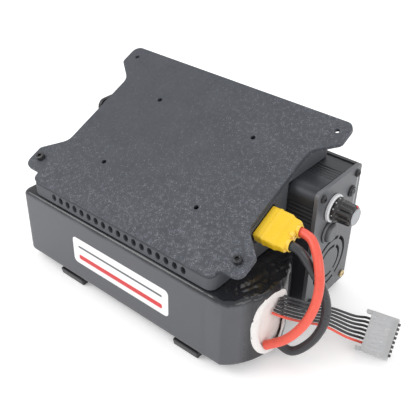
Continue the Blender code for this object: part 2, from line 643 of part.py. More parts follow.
def make_balance_lead():
    length, width, height = CONNECTOR_SIZE
    first = (width - WIRE_PITCH * (WIRES - 1)) / 2

    def corner(a, b, c):
        return CONNECTOR_CORNER + ALONG * a + ACROSS * b + UPWARD * c

    def block(a0, a1, b0, b1, c0, c1):
        mesh = bmesh.new()
        loft(mesh, [[corner(a, b, c) for b, c in ((b0, c0), (b1, c0), (b1, c1), (b0, c1))] for a in (a0, a1)])
        return mesh

    shell = add("balance_connector", block(0, length, 0, width, 0, height), clear_nylon)
    for side in (0, width - WING[1]):
        combine(shell, block(-WING[0], 2.0, side, side + WING[1], 0.4, height - 0.4), "UNION")
    combine(shell, block(length - POCKET, length + 4, 1.2, width - 1.2, 1.2, height - 1.2))
    inner = block(length - POCKET + GAP, length - 0.8, 1.6, width - 1.6, 1.6, height - 1.6)
    comb = add("contact_comb", inner, contact_metal)
    for k in range(TEETH):
        b = 2.2 + k * (width - 6.0) / (TEETH - 1)
        combine(comb, block(length - 1.5, length + 1.3, b, b + 1.6, 3.0, 5.0), "UNION")
    low = Vector((0, 0, -1.0))
    for k in range(WIRES):
        end = corner(-GAP, first + k * WIRE_PITCH, height / 2)
        y, z = -31.4 + 1.35 * k, 37.0 + 1.35 * k
        start = Vector((nose_x(y, 2.3) + 1.0, y, z))
        bunch = Vector((118.0, -4.3 + 1.3 * k, 19.6 + 1.4 * k))
        route = [start, start + Vector((6.0, 3.4, -2.2)), start.lerp(bunch, 0.6) + low, bunch,
                 bunch.lerp(end, 0.55) + low, end - ALONG * 3.0, end]
        cord(f"balance_wire_{k + 1}", route, WIRE_R, red_silicone if k == 0 else black_silicone)


clear_scene()
frame = bpy.data.objects.new("design_frame", None)
bpy.context.scene.collection.objects.link(frame)
frame.location = (SHIFT_X * MM, 0, 0)

cutting = finish("cutting", (0.8, 0.2, 0.2), 0.5)
rail_plastic = finish("rail_plastic", (0.012, 0.012, 0.013), 0.5)
cell_foil = finish("cell_foil", (0.55, 0.56, 0.58), 0.35, 0.7)
insulator = finish("insulator", (0.82, 0.78, 0.76), 0.7)
film = finish("film", (0.02, 0.02, 0.022), 0.25)
anodised = finish("anodised", (0.02, 0.02, 0.022), 0.4, 0.6)
panel_metal = finish("panel_metal", (0.09, 0.095, 0.1), 0.45, 0.5)
rear_metal = finish("rear_metal", (0.02, 0.02, 0.022), 0.45, 0.5)
brass = finish("brass", (0.62, 0.52, 0.33), 0.3, 1.0)
black_steel = finish("black_steel", (0.03, 0.03, 0.033), 0.35, 0.9)
steel = finish("steel", (0.5, 0.5, 0.5), 0.3, 1.0)
silver = finish("silver", (0.75, 0.75, 0.76), 0.3, 1.0)
black_plastic = finish("black_plastic", (0.015, 0.015, 0.016), 0.45)
white_plastic = finish("white_plastic", (0.85, 0.86, 0.88), 0.4)
knob_plastic = finish("knob_plastic", (0.018, 0.018, 0.02), 0.35)
fan_plastic = finish("fan_plastic", (0.02, 0.02, 0.02), 0.5)
lamp_glass = finish("lamp_glass", (0.75, 0.8, 0.85), 0.15)
board_green = finish("board_green", (0.02, 0.16, 0.07), 0.5)
aluminium = finish("aluminium", (0.6, 0.61, 0.62), 0.35, 1.0)
capacitor_sleeve = finish("capacitor_sleeve", (0.03, 0.03, 0.06), 0.35)
terminal_green = finish("terminal_green", (0.05, 0.3, 0.12), 0.5)
printed = finish("printed", (0.03, 0.031, 0.033), 0.75)
plug_yellow = finish("plug_yellow", (0.9, 0.58, 0.02), 0.4)
red_silicone = finish("red_silicone", (0.75, 0.06, 0.03), 0.45)
black_silicone = finish("black_silicone", (0.02, 0.02, 0.022), 0.45)
rubber = finish("rubber", (0.02, 0.02, 0.02), 0.6)
clear_nylon = finish("clear_nylon", (0.85, 0.86, 0.86), 0.35)
contact_metal = finish("contact_metal", (0.18, 0.17, 0.15), 0.35, 0.9)

make_rails()
make_pack()
make_box()
make_controls()
make_fan()
make_electronics()
make_wedge()
make_plug()
make_leads()
make_balance_lead()
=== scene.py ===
import json
from math import radians

import bmesh
import bpy
import numpy as np
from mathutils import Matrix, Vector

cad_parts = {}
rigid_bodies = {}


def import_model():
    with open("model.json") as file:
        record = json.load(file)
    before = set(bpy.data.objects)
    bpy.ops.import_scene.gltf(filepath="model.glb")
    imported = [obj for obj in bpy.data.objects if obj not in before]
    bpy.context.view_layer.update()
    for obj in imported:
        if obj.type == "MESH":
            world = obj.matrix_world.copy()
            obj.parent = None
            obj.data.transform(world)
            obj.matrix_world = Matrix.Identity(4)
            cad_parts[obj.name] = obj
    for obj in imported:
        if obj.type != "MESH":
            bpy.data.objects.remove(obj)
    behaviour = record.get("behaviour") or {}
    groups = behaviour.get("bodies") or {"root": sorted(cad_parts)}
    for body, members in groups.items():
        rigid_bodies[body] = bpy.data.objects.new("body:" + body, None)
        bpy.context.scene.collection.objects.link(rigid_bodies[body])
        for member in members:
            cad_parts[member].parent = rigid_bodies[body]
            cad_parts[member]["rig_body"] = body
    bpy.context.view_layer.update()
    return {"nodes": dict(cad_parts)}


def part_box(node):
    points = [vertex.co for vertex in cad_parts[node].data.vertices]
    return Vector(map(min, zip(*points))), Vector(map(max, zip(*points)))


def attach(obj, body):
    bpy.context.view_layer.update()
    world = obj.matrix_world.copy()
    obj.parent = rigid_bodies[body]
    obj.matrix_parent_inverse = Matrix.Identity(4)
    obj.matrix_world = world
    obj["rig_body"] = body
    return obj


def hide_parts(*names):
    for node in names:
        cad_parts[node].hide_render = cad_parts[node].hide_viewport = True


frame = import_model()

mm = 0.001               # shapes are worked out in millimetres in the row frame, and scaled once
nodes = frame["nodes"]
print("frame loaded:", len(nodes), "nodes")


def span(node):
    # lowest and highest corner of a CAD node, in millimetres
    low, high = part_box(node)
    return np.array(low) / mm, np.array(high) / mm


# ---- camera and light ----

camera = dict(place=(0.23975, -0.2786, 0.30475), turn=(55.371, -1.289, 39.745), lens=59.57)
light = dict(surround=0.8, shade=(1.0, 1.0, 1.0), lamps=[
    # place, size, power
    ((-0.62, -0.62, 0.72), 0.5, 4.2),
    ((0.85, -0.15, 0.65), 0.5, 1.9),
    ((-0.1, 0.7, 1.0), 0.8, 2.0)])


def setStage():
    view = bpy.data.cameras.new("view")
    view.lens = camera["lens"]
    eye = bpy.data.objects.new("view", view)
    bpy.context.scene.collection.objects.link(eye)
    eye.location = camera["place"]
    eye.rotation_euler = [radians(turn) for turn in camera["turn"]]
    bpy.context.scene.camera = eye
    world = bpy.data.worlds.new("surround")
    world.use_nodes = True
    world.node_tree.nodes["Background"].inputs["Color"].default_value = (*light["shade"], 1)
    world.node_tree.nodes["Background"].inputs["Strength"].default_value = light["surround"]
    bpy.context.scene.world = world
    bpy.context.scene.view_settings.view_transform = "Standard"
    for number, (place, size, power) in enumerate(light["lamps"]):
        lamp = bpy.data.lights.new(f"softbox{number + 1}", "AREA")
        lamp.size = size
        lamp.energy = power
        box = bpy.data.objects.new(lamp.name, lamp)
        bpy.context.scene.collection.objects.link(box)
        box.location = place
        toward = -box.location.normalized()
        box.rotation_euler = toward.to_track_quat("-Z", "Y").to_euler()


setStage()
print("camera and lights set")


# ---- surfaces ----

def unit(vectors):
    return vectors / np.linalg.norm(vectors, axis=-1, keepdims=True)


def waves(points, size, seed, count=9):
    # smooth unevenness from -1 to 1: a sum of sines whose directions are drawn from a seeded source,
    # each sin(2 pi * p . d / size + phase), divided by the root of their number
    draw = np.random.default_rng(seed)
    ways = unit(draw.normal(size=(count, 3))) * draw.uniform(0.6, 1.5, (count, 1))
    turns = points @ ways.T * (2 * np.pi / size) + draw.uniform(0, 2 * np.pi, count)
    return np.sin(turns).sum(-1) / np.sqrt(count)


def step(low, high, value):
    # smooth step: 3t^2 - 2t^3 between low and high
    t = np.clip((value - low) / (high - low), 0, 1)
    return t * t * (3 - 2 * t)


def gridFaces(rows, columns, around):
    # the four corners of each cell of a grid of points, wrapped round where 'around' is true
    index = np.arange(rows * columns).reshape(rows, columns)
    right = np.roll(index, -1, axis=1)
    if not around:
        index, right = index[:, :-1], right[:, :-1]
    return np.stack([index[:-1], right[:-1], right[1:], index[1:]], axis=-1).reshape(-1, 4)


def makePiece(name, points, faces, body, slot, stands=(), smoothAngle=40, look=None):
    # a mesh from points in millimetres and a list of faces, riding on a body; it wears its slot's finish
    # unless 'look' names another
    faces = [list(map(int, face)) for face in faces]
    data = bpy.data.meshes.new(name)
    data.from_pydata((np.asarray(points) * mm).tolist(), [], faces)
    data.validate()
    data.shade_smooth()
    data.set_sharp_from_angle(angle=radians(smoothAngle))
    data.materials.append(paints[look or slot])
    piece = bpy.data.objects.new(name, data)
    bpy.context.scene.collection.objects.link(piece)
    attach(piece, body)
    if stands:
        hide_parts(*stands)
    return piece


def skin(grid, closed=True):
    # points and outward faces of a grid of rings, each end closed by a fan to the ring's middle;
    # the faces are turned round where the closed volume comes out negative
    rows, columns = grid.shape[:2]
    points = grid.reshape(-1, 3)
    faces = gridFaces(rows, columns, True)
    if closed:
        ends = np.array([grid[0].mean(0), grid[-1].mean(0)])
        first, last = np.arange(columns), np.arange(columns) + (rows - 1) * columns
        start, finish = len(points), len(points) + 1
        points = np.vstack([points, ends])
        fans = [np.column_stack([np.roll(first, -1), first, np.full(columns, start)]),
                np.column_stack([last, np.roll(last, -1), np.full(columns, finish)])]
        corners = np.vstack([faces[:, :3], faces[:, [0, 2, 3]], *fans])
        a, b, c = (points[corners[:, k]] - points.mean(0) for k in range(3))
        inward = (a * np.cross(b, c)).sum() < 0
        faces = faces.tolist() + fans[0].tolist() + fans[1].tolist()
    else:
        inward = False
        faces = faces.tolist()
    if inward:
        faces = [face[::-1] for face in faces]
    return points, faces


def gather(parts):
    # several (points, faces) in one
    points, faces, count = [], [], 0
    for somePoints, someFaces in parts:
        points.append(somePoints)
        faces += [[corner + count for corner in face] for face in someFaces]
        count += len(somePoints)
    return np.vstack(points), faces


def outward(points, faces):
    # the faces of a closed ring, turned round where their volume comes out negative
    corners = np.array(faces)
    middle = points.mean(0)
    total = 0.0
    for b, c in ((1, 2), (2, 3)):
        p, q, r = (points[corners[:, k]] - middle for k in (0, b, c))
        total += (p * np.cross(q, r)).sum()
    return faces if total > 0 else [face[::-1] for face in faces]


def hoop(grid):
    # points and outward faces of rings whose profile closes on itself
    points, faces = skin(grid, closed=False)
    return points, outward(points, faces)


def eased(profile, radius, steps=5):
    # a polyline whose inner corners become curves: (1-t)^2 a + 2t(1-t) corner + t^2 b, with a and b
    # 'radius' away from the corner, or half way to the next one
    profile = np.asarray(profile, float)
    line = [profile[0]]
    t = np.linspace(0, 1, steps + 1)[:, None]
    for before, here, after in zip(profile, profile[1:], profile[2:]):
        back, on = before - here, after - here
        a = here + back * min(0.5, radius / np.linalg.norm(back))
        b = here + on * min(0.5, radius / np.linalg.norm(on))
        line += list((1 - t) ** 2 * a + 2 * t * (1 - t) * here + t**2 * b)
    line.append(profile[-1])
    line = np.array(line)
    keep = np.append(True, np.linalg.norm(np.diff(line, axis=0), axis=1) > 1e-6)
    return line[keep]


def turned(centre, profile, count=64, shape=None):
    # profile of (x, radius) turned about X through centre = (y, z): y = r cos t, z = r sin t;
    # 'shape' may change the radius as a function of x, radius and the angle
    profile = np.asarray(profile, float)
    angle = np.arange(count) * 2 * np.pi / count
    x, radius = profile[:, 0, None], profile[:, 1, None]
    radius = radius + 0 * angle if shape is None else shape(x, radius, angle)
    grid = np.stack([x + 0 * angle, centre[0] + radius * np.cos(angle),
                     centre[1] + radius * np.sin(angle)], axis=-1)
    return grid


def roundedOutline(corners, steps=6):
    # closed outline whose corners (a, b, radius) become arcs about the point radius / sin(half angle)
    # along the corner's bisector
    outline = []
    for k, (a, b, radius) in enumerate(corners):
        here = np.array([a, b], float)
        before = unit(np.array(corners[k - 1][:2]) - here)
        after = unit(np.array(corners[(k + 1) % len(corners)][:2]) - here)
        if radius == 0:
            outline.append(here[None])
            continue
        half = np.arccos(np.clip(before @ after, -1, 1)) / 2
        centre = here + unit(before + after) * radius / np.sin(half)
        first = here + before * radius / np.tan(half) - centre
        last = here + after * radius / np.tan(half) - centre
        t = np.linspace(0, 1, steps + 1)[:, None]
        sweep = np.pi - 2 * half
        outline.append(centre + (np.sin((1 - t) * sweep) * first + np.sin(t * sweep) * last) / np.sin(sweep))
    return np.vstack(outline)


def softened(node, width, slot, segments=2, angle=35, look=None):
    # a merged copy of a CAD node with its edges rounded over
    body = nodes[node]["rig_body"]
    data = nodes[node].data.copy()
    work = bmesh.new()
    work.from_mesh(data)
    bmesh.ops.remove_doubles(work, verts=work.verts, dist=0.002 * mm)
    bmesh.ops.dissolve_limit(work, angle_limit=radians(0.4), verts=work.verts, edges=work.edges)
    work.to_mesh(data)
    work.free()
    data.name = node + "_soft"
    data.shade_smooth()
    data.set_sharp_from_angle(angle=radians(angle))
    data.materials.clear()
    data.materials.append(paints[look or slot])
    piece = bpy.data.objects.new(node + "_soft", data)
    bpy.context.scene.collection.objects.link(piece)
    bevel = piece.modifiers.new("rounded edges", "BEVEL")
    bevel.width = width * mm
    bevel.segments = segments
    bevel.limit_method = "ANGLE"
    bevel.angle_limit = radians(angle)
    bevel.harden_normals = True
    bevel.miter_outer = "MITER_ARC"
    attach(piece, body)
    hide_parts(node)
    return piece


# ---- shader groups ----

def newNode(tree, kind, values=None, **settings):
    # a node with its settings; each named input is linked to a socket or set to a value
    made = tree.nodes.new("ShaderNode" + kind)
    for key, value in settings.items():
        setattr(made, key, value)
    for key, value in (values or {}).items():
        if isinstance(value, bpy.types.NodeSocket):
            tree.links.new(value, made.inputs[key])
        else:
            made.inputs[key].default_value = value
    return made


def maths(tree, operation, a, b=0.0, clamp=False):
    return newNode(tree, "Math", {0: a, 1: b}, operation=operation, use_clamp=clamp).outputs[0]


def blendColours(tree, factor, a, b, way="MIX"):
    return newNode(tree, "Mix", {0: factor, 6: a, 7: b}, data_type="RGBA", blend_type=way).outputs[2]


def ramp(tree, value, low, high, outLow=0.0, outHigh=1.0):
    return newNode(tree, "MapRange", {0: value, 1: low, 2: high, 3: outLow, 4: outHigh}).outputs[0]


def newGroup(name, inputs, outputs):
    # an empty group with named sockets: inputs hold a start value, outputs a kind
    group = bpy.data.node_groups.new(name, "ShaderNodeTree")
    for title, value in inputs.items():
        kind = "NodeSocketColor" if isinstance(value, tuple) else "NodeSocketFloat"
        group.interface.new_socket(title, in_out="INPUT", socket_type=kind).default_value = value
    for title, kind in outputs.items():
        group.interface.new_socket(title, in_out="OUTPUT", socket_type="NodeSocket" + kind)
    return group, group.nodes.new("NodeGroupInput").outputs, group.nodes.new("NodeGroupOutput").inputs


def makeGrain():
    # fine and coarse noise: the colour is multiplied by 1 + variation * noise, the roughness moves with it
    group, given, wanted = newGroup("moulded grain", {
        "Colour": (0.5, 0.5, 0.5, 1.0), "Scale": 900.0, "Variation": 0.15, "Roughness": 0.5,
        "Rough Variation": 0.1}, {"Colour": "Color", "Roughness": "Float", "Height": "Float"})
    place = newNode(group, "TexCoord").outputs["Object"]
    fine = newNode(group, "TexNoise", {"Vector": place, "Scale": given["Scale"], "Detail": 3.0}).outputs[0]
    broadScale = maths(group, "MULTIPLY", given["Scale"], 0.045)
    broad = newNode(group, "TexNoise", {"Vector": place, "Scale": broadScale, "Detail": 3.0}).outputs[0]
    both = maths(group, "ADD", maths(group, "MULTIPLY", fine, 0.5), maths(group, "MULTIPLY", broad, 0.5))
    around = maths(group, "SUBTRACT", both, 0.5)
    swing = maths(group, "MULTIPLY", around, maths(group, "MULTIPLY", given["Variation"], 4.0))
    gain = maths(group, "ADD", swing, 1.0)
    scaled = newNode(group, "VectorMath", {0: given["Colour"], "Scale": gain}, operation="SCALE").outputs[0]
    rough = maths(group, "MULTIPLY", around, maths(group, "MULTIPLY", given["Rough Variation"], 4.0))
    group.links.new(scaled, wanted["Colour"])
    group.links.new(maths(group, "ADD", given["Roughness"], rough, True), wanted["Roughness"])
    group.links.new(fine, wanted["Height"])
    return group


def makeWear():
    # the outer edges show a second colour where the surface bulges and a noise lets it
    group, given, wanted = newGroup("edge wear", {
        "Colour": (0.5, 0.5, 0.5, 1.0), "Worn Colour": (0.7, 0.7, 0.7, 1.0), "Amount": 0.4,
        "Scale": 300.0}, {"Colour": "Color", "Mask": "Float"})
    bulge = newNode(group, "NewGeometry").outputs["Pointiness"]
    edge = ramp(group, bulge, 0.51, 0.6)
    place = newNode(group, "TexCoord").outputs["Object"]
    patch = newNode(group, "TexNoise", {"Vector": place, "Scale": given["Scale"], "Detail": 4.0}).outputs[0]
    worn = maths(group, "MULTIPLY", edge, ramp(group, patch, 0.3, 0.6))
    mask = maths(group, "MULTIPLY", worn, given["Amount"], True)
    group.links.new(blendColours(group, mask, given["Colour"], given["Worn Colour"]), wanted["Colour"])
    group.links.new(mask, wanted["Mask"])
    return group


def makeDust():
    # faces that look up gather a thin, patchy film
    group, given, wanted = newGroup("thin dust", {
        "Colour": (0.5, 0.5, 0.5, 1.0), "Dust Colour": (0.45, 0.44, 0.42, 1.0), "Amount": 0.06,
        "Scale": 60.0}, {"Colour": "Color", "Mask": "Float"})
    lift = newNode(group, "SeparateXYZ", {0: newNode(group, "NewGeometry").outputs["Normal"]}).outputs[2]
    place = newNode(group, "TexCoord").outputs["Object"]
    patch = newNode(group, "TexNoise", {"Vector": place, "Scale": given["Scale"], "Detail": 5.0}).outputs[0]
    lying = maths(group, "MULTIPLY", ramp(group, lift, 0.1, 1.0), ramp(group, patch, 0.35, 0.75))
    mask = maths(group, "MULTIPLY", lying, given["Amount"], True)
    group.links.new(blendColours(group, mask, given["Colour"], given["Dust Colour"]), wanted["Colour"])
    group.links.new(mask, wanted["Mask"])
    return group


def makeSparkle():
    # cells of a fine pattern: the few whose random value passes 'Share' stand out as bright specks
    group, given, wanted = newGroup("sparkle", {"Scale": 1100.0, "Share": 0.2, "Speck Size": 0.45},
                                    {"Mask": "Float", "Height": "Float"})
    place = newNode(group, "TexCoord").outputs["Object"]
    cells = newNode(group, "TexVoronoi", {"Vector": place, "Scale": given["Scale"]}).outputs
    chance = newNode(group, "SeparateColor", {0: cells["Color"]}).outputs[0]
    chosen = maths(group, "LESS_THAN", chance, given["Share"])
    near = maths(group, "LESS_THAN", cells["Distance"], given["Speck Size"])
    group.links.new(maths(group, "MULTIPLY", chosen, near), wanted["Mask"])
    group.links.new(cells["Distance"], wanted["Height"])
    return group


grainGroup, wearGroup, dustGroup, sparkleGroup = makeGrain(), makeWear(), makeDust(), makeSparkle()
print("shader groups built")


def grown(tree, group, values):
    # a group placed in a material, its inputs linked or set
    made = tree.nodes.new("ShaderNodeGroup")
    made.node_tree = group
    for key, value in values.items():
        if isinstance(value, bpy.types.NodeSocket):
            tree.links.new(value, made.inputs[key])
        else:
            made.inputs[key].default_value = value
    return made.outputs


def newFinish(name, colour, rough, metal=0.0, grain=900.0, variation=0.12, roughVariation=0.08, bump=0.06,
              wear=0.25, worn=(0.3, 0.3, 0.3), dust=0.05, coat=0.0, coatRough=0.1, extra=None):
    # grain, then edge wear, then dust feed the colour; the grain's height feeds a bump.
    # 'extra' may take the tree, colour, roughness and height further before they reach the shader
    material = bpy.data.materials.new(name)
    material.use_nodes = True
    tree = material.node_tree
    shader = tree.nodes["Principled BSDF"]
    made = grown(tree, grainGroup, {"Colour": (*colour, 1), "Scale": grain, "Variation": variation,
                                    "Roughness": rough, "Rough Variation": roughVariation})
    paint, roughness, height = made["Colour"], made["Roughness"], made["Height"]
    if extra:
        paint, roughness, height = extra(tree, paint, roughness, height)
    paint = grown(tree, wearGroup, {"Colour": paint, "Worn Colour": (*worn, 1), "Amount": wear})["Colour"]
    made = grown(tree, dustGroup, {"Colour": paint, "Amount": dust})
    paint = made["Colour"]
    roughness = maths(tree, "ADD", roughness, maths(tree, "MULTIPLY", made["Mask"], 0.4), True)
    tree.links.new(paint, shader.inputs["Base Color"])
    tree.links.new(roughness, shader.inputs["Roughness"])
    shader.inputs["Metallic"].default_value = metal
    shader.inputs["Coat Weight"].default_value = coat
    shader.inputs["Coat Roughness"].default_value = coatRough
    raised = newNode(tree, "Bump", {"Strength": bump, "Distance": 0.0002, "Height": height})
    tree.links.new(raised.outputs[0], shader.inputs["Normal"])
    return material


def printedTop(tree, paint, roughness, height):
    # a coarse pressed texture with bright specks, thicker towards the right and the front
    place = newNode(tree, "TexCoord").outputs["Object"]
    split = newNode(tree, "SeparateXYZ", {0: place}).outputs
    right = ramp(tree, split[0], -0.03, 0.07, 0.0, 0.5)
    front = ramp(tree, split[1], 0.0, -0.055, 0.02, 0.5)
    share = maths(tree, "ADD", right, front)
    specks = grown(tree, sparkleGroup, {"Scale": 2000.0, "Share": share, "Speck Size": 0.42})
    broad = newNode(tree, "TexNoise", {"Vector": place, "Scale": 420.0, "Detail": 4.0}).outputs[0]
    patchy = maths(tree, "MULTIPLY", specks["Mask"], ramp(tree, broad, 0.4, 0.62))
    paint = blendColours(tree, patchy, paint, (0.2, 0.21, 0.24, 1))
    shade = ramp(tree, broad, 0.35, 0.65, 0.9, 1.08)
    paint = newNode(tree, "VectorMath", {0: paint, "Scale": shade}, operation="SCALE").outputs[0]
    height = maths(tree, "ADD", specks["Height"], maths(tree, "MULTIPLY", broad, 2.0))
    return paint, roughness, height


def layerLines(tree, paint, roughness, height):
    # thin printed layers, 0.2 mm apart up the wall
    place = newNode(tree, "TexCoord").outputs["Object"]
    lines = newNode(tree, "TexWave", {"Vector": place, "Scale": 800.0, "Distortion": 0.4, "Detail": 1.0},
                    bands_direction="Z").outputs[1]
    return paint, roughness, maths(tree, "ADD", height, lines)


def brushed(tree, paint, roughness, height):
    # rings left by turning
    place = newNode(tree, "TexCoord").outputs["Object"]
    fine = newNode(tree, "TexNoise", {"Vector": place, "Scale": 2600.0, "Detail": 2.0}).outputs[0]
    roughness = maths(tree, "ADD", roughness, maths(tree, "MULTIPLY", fine, 0.12))
    return paint, roughness, maths(tree, "ADD", height, fine)


filmLook = dict(labelTop=0.0525, labelSoft=0.0012, top=(0.018, 0.019, 0.023), topRough=0.2)


def filmZones(tree, paint, roughness, height):
    # the printed label ends just under the upper edge, where clear black film goes on over the top
    place = newNode(tree, "TexCoord").outputs["Object"]
    split = newNode(tree, "SeparateXYZ", {0: place}).outputs
    drift = newNode(tree, "TexNoise", {"Vector": place, "Scale": 45.0, "Detail": 2.0}).outputs[0]
    level = maths(tree, "ADD", split[2], maths(tree, "MULTIPLY", maths(tree, "SUBTRACT", drift, 0.5), 0.004))
    edge, soft = filmLook["labelTop"], filmLook["labelSoft"]
    above = ramp(tree, level, edge - soft, edge + soft)
    behind = ramp(tree, split[1], -0.052, -0.046)
    zone = maths(tree, "MAXIMUM", above, behind)
    paint = blendColours(tree, zone, paint, (*filmLook["top"], 1))
    glossy = maths(tree, "MULTIPLY", maths(tree, "SUBTRACT", 1.0, zone), roughness)
    roughness = maths(tree, "ADD", glossy, maths(tree, "MULTIPLY", zone, filmLook["topRough"]))
    return paint, roughness, height


finishes = {
    "printed": dict(colour=(0.075, 0.079, 0.09), rough=0.62, grain=1400, bump=0.25, wear=0.0,
                    dust=0.03, extra=layerLines),
    "printedTop": dict(colour=(0.052, 0.057, 0.07), rough=0.6, grain=1300, variation=0.08, bump=0.35,
                       wear=0.0, dust=0.03, extra=printedTop),
    "film": dict(colour=(0.078, 0.081, 0.092), rough=0.33, grain=500, variation=0.04, roughVariation=0.03,
                 bump=0.02, wear=0.0, dust=0.0, extra=filmZones),
    "insulator": dict(colour=(0.88, 0.83, 0.8), rough=0.75, grain=1500, bump=0.4, wear=0.0, dust=0.02),
    "lipWhite": dict(colour=(0.8, 0.78, 0.76), rough=0.45, grain=700, bump=0.2, wear=0.0, dust=0.0),
    "anodised": dict(colour=(0.026, 0.028, 0.034), rough=0.42, metal=0.2, grain=2200, variation=0.05,
                     roughVariation=0.04, bump=0.06, wear=0.0, dust=0.02),
    "panel_metal": dict(colour=(0.13, 0.133, 0.143), rough=0.42, metal=0.3, grain=2200, bump=0.14, wear=0.0),
    "rear_metal": dict(colour=(0.03, 0.03, 0.033), rough=0.42, metal=0.4, grain=2200, bump=0.12, wear=0.0),
    "rail_plastic": dict(colour=(0.022, 0.022, 0.025), rough=0.42, grain=1200, bump=0.2, wear=0.0),
    "cell_foil": dict(colour=(0.5, 0.51, 0.53), rough=0.35, metal=0.8, grain=250, bump=0.5),
    "brass": dict(colour=(0.66, 0.53, 0.3), rough=0.3, metal=1.0, grain=1800, worn=(0.9, 0.8, 0.6)),
    "black_steel": dict(colour=(0.03, 0.03, 0.033), rough=0.3, metal=0.6, grain=1800, wear=0.4,
                        worn=(0.35, 0.35, 0.36)),
    "steel": dict(colour=(0.55, 0.55, 0.56), rough=0.28, metal=1.0, grain=1800),
    "silver": dict(colour=(0.4, 0.41, 0.43), rough=0.28, metal=1.0, grain=1600, extra=brushed),
    "black_plastic": dict(colour=(0.02, 0.02, 0.023), rough=0.4, grain=1300, bump=0.12, wear=0.0),
    "white_plastic": dict(colour=(0.8, 0.81, 0.83), rough=0.35, grain=1300, variation=0.05, wear=0.0, dust=0.04),
    "knob_plastic": dict(colour=(0.014, 0.014, 0.016), rough=0.22, grain=1100, bump=0.05, coat=0.3),
    "fan_plastic": dict(colour=(0.02, 0.02, 0.023), rough=0.45, grain=1300, wear=0.0),
    "lamp_glass": dict(colour=(0.05, 0.055, 0.06), rough=0.1, grain=900, wear=0.0, dust=0.0, coat=0.6),
    "board_green": dict(colour=(0.015, 0.12, 0.055), rough=0.4, grain=900, variation=0.2),
    "aluminium": dict(colour=(0.6, 0.61, 0.62), rough=0.35, metal=1.0, grain=1500),
    "capacitor_sleeve": dict(colour=(0.03, 0.03, 0.06), rough=0.35),
    "terminal_green": dict(colour=(0.05, 0.3, 0.12), rough=0.45),
    "plug_yellow": dict(colour=(0.86, 0.55, 0.015), rough=0.38, grain=900, variation=0.08, bump=0.1,
                        worn=(0.95, 0.75, 0.3), wear=0.3, dust=0.02),
    "red_silicone": dict(colour=(0.83, 0.11, 0.07), rough=0.36, grain=500, variation=0.1, wear=0.0, dust=0.02),
    "black_silicone": dict(colour=(0.034, 0.035, 0.04), rough=0.3, grain=500, wear=0.0, dust=0.05),
    "rubber": dict(colour=(0.02, 0.02, 0.02), rough=0.6),
    "clear_nylon": dict(colour=(0.66, 0.67, 0.68), rough=0.35, grain=800, variation=0.08, wear=0.1,
                        worn=(0.95, 0.95, 0.95), dust=0.0, bump=0.1),
    "contact_metal": dict(colour=(0.1, 0.095, 0.085), rough=0.35, metal=0.9, grain=900),
    "pointerRed": dict(colour=(0.7, 0.03, 0.03), rough=0.4, grain=900, wear=0.0),
    "stickerWhite": dict(colour=(0.86, 0.86, 0.87), rough=0.4, grain=900, variation=0.03, wear=0.0, dust=0.0),
    "stickerRed": dict(colour=(0.66, 0.03, 0.035), rough=0.38, grain=700, variation=0.12, wear=0.0, dust=0.0),
    "stickerDark": dict(colour=(0.11, 0.11, 0.12), rough=0.4, grain=700, wear=0.0, dust=0.0),
    "windowGrey": dict(colour=(0.55, 0.56, 0.58), rough=0.4, grain=900, wear=0.0, dust=0.0),
}
paints = {name: newFinish(name, **values) for name, values in finishes.items()}
for name, values in (("clear_nylon", 0.35), ("insulator", 0.0)):
    paints[name].node_tree.nodes["Principled BSDF"].inputs["Transmission Weight"].default_value = values
print("finishes made:", len(paints))


# ---- leads and wires ----

def smoothPath(route, spacing):
    # Catmull-Rom curve 0.5 * (2b + (c-a)t + (2a-5b+4c-d)t^2 + (3b-a-3c+d)t^3) through the route's points,
    # then read at even steps of its length
    route = np.asarray(route, float)
    padded = np.vstack([2 * route[0] - route[1], route, 2 * route[-1] - route[-2]])
    a, b, c, d = (padded[k:len(padded) - 3 + k, None] for k in range(4))
    t = np.linspace(0, 1, 40, endpoint=False)[None, :, None]
    fine = 0.5 * (2 * b + (c - a) * t + (2 * a - 5 * b + 4 * c - d) * t**2 + (3 * b - a - 3 * c + d) * t**3)
    fine = np.vstack([fine.reshape(-1, 3), route[-1]])
    along = np.append(0, np.cumsum(np.linalg.norm(np.diff(fine, axis=0), axis=1)))
    wanted = np.linspace(0, along[-1], max(8, round(along[-1] / spacing)))
    return np.stack([np.interp(wanted, along, fine[:, k]) for k in range(3)], axis=-1)


def tube(path, radius, sides=20):
    # circles across the path: p + r (cos t * side + sin t * lift), the side carried along without twist
    tangent = unit(np.gradient(path, axis=0))
    side = np.empty_like(path)
    side[0] = unit(np.cross(tangent[0], (0.0, 0.3, 1.0)))
    for k in range(1, len(path)):
        side[k] = unit(side[k - 1] - tangent[k] * (side[k - 1] @ tangent[k]))
    lift = np.cross(tangent, side)
    angle = np.arange(sides) * 2 * np.pi / sides
    radius = np.broadcast_to(radius, len(path))[:, None, None]
    cos, sin = np.cos(angle)[:, None], np.sin(angle)[:, None]
    return path[:, None] + radius * (cos * side[:, None] + sin * lift[:, None])


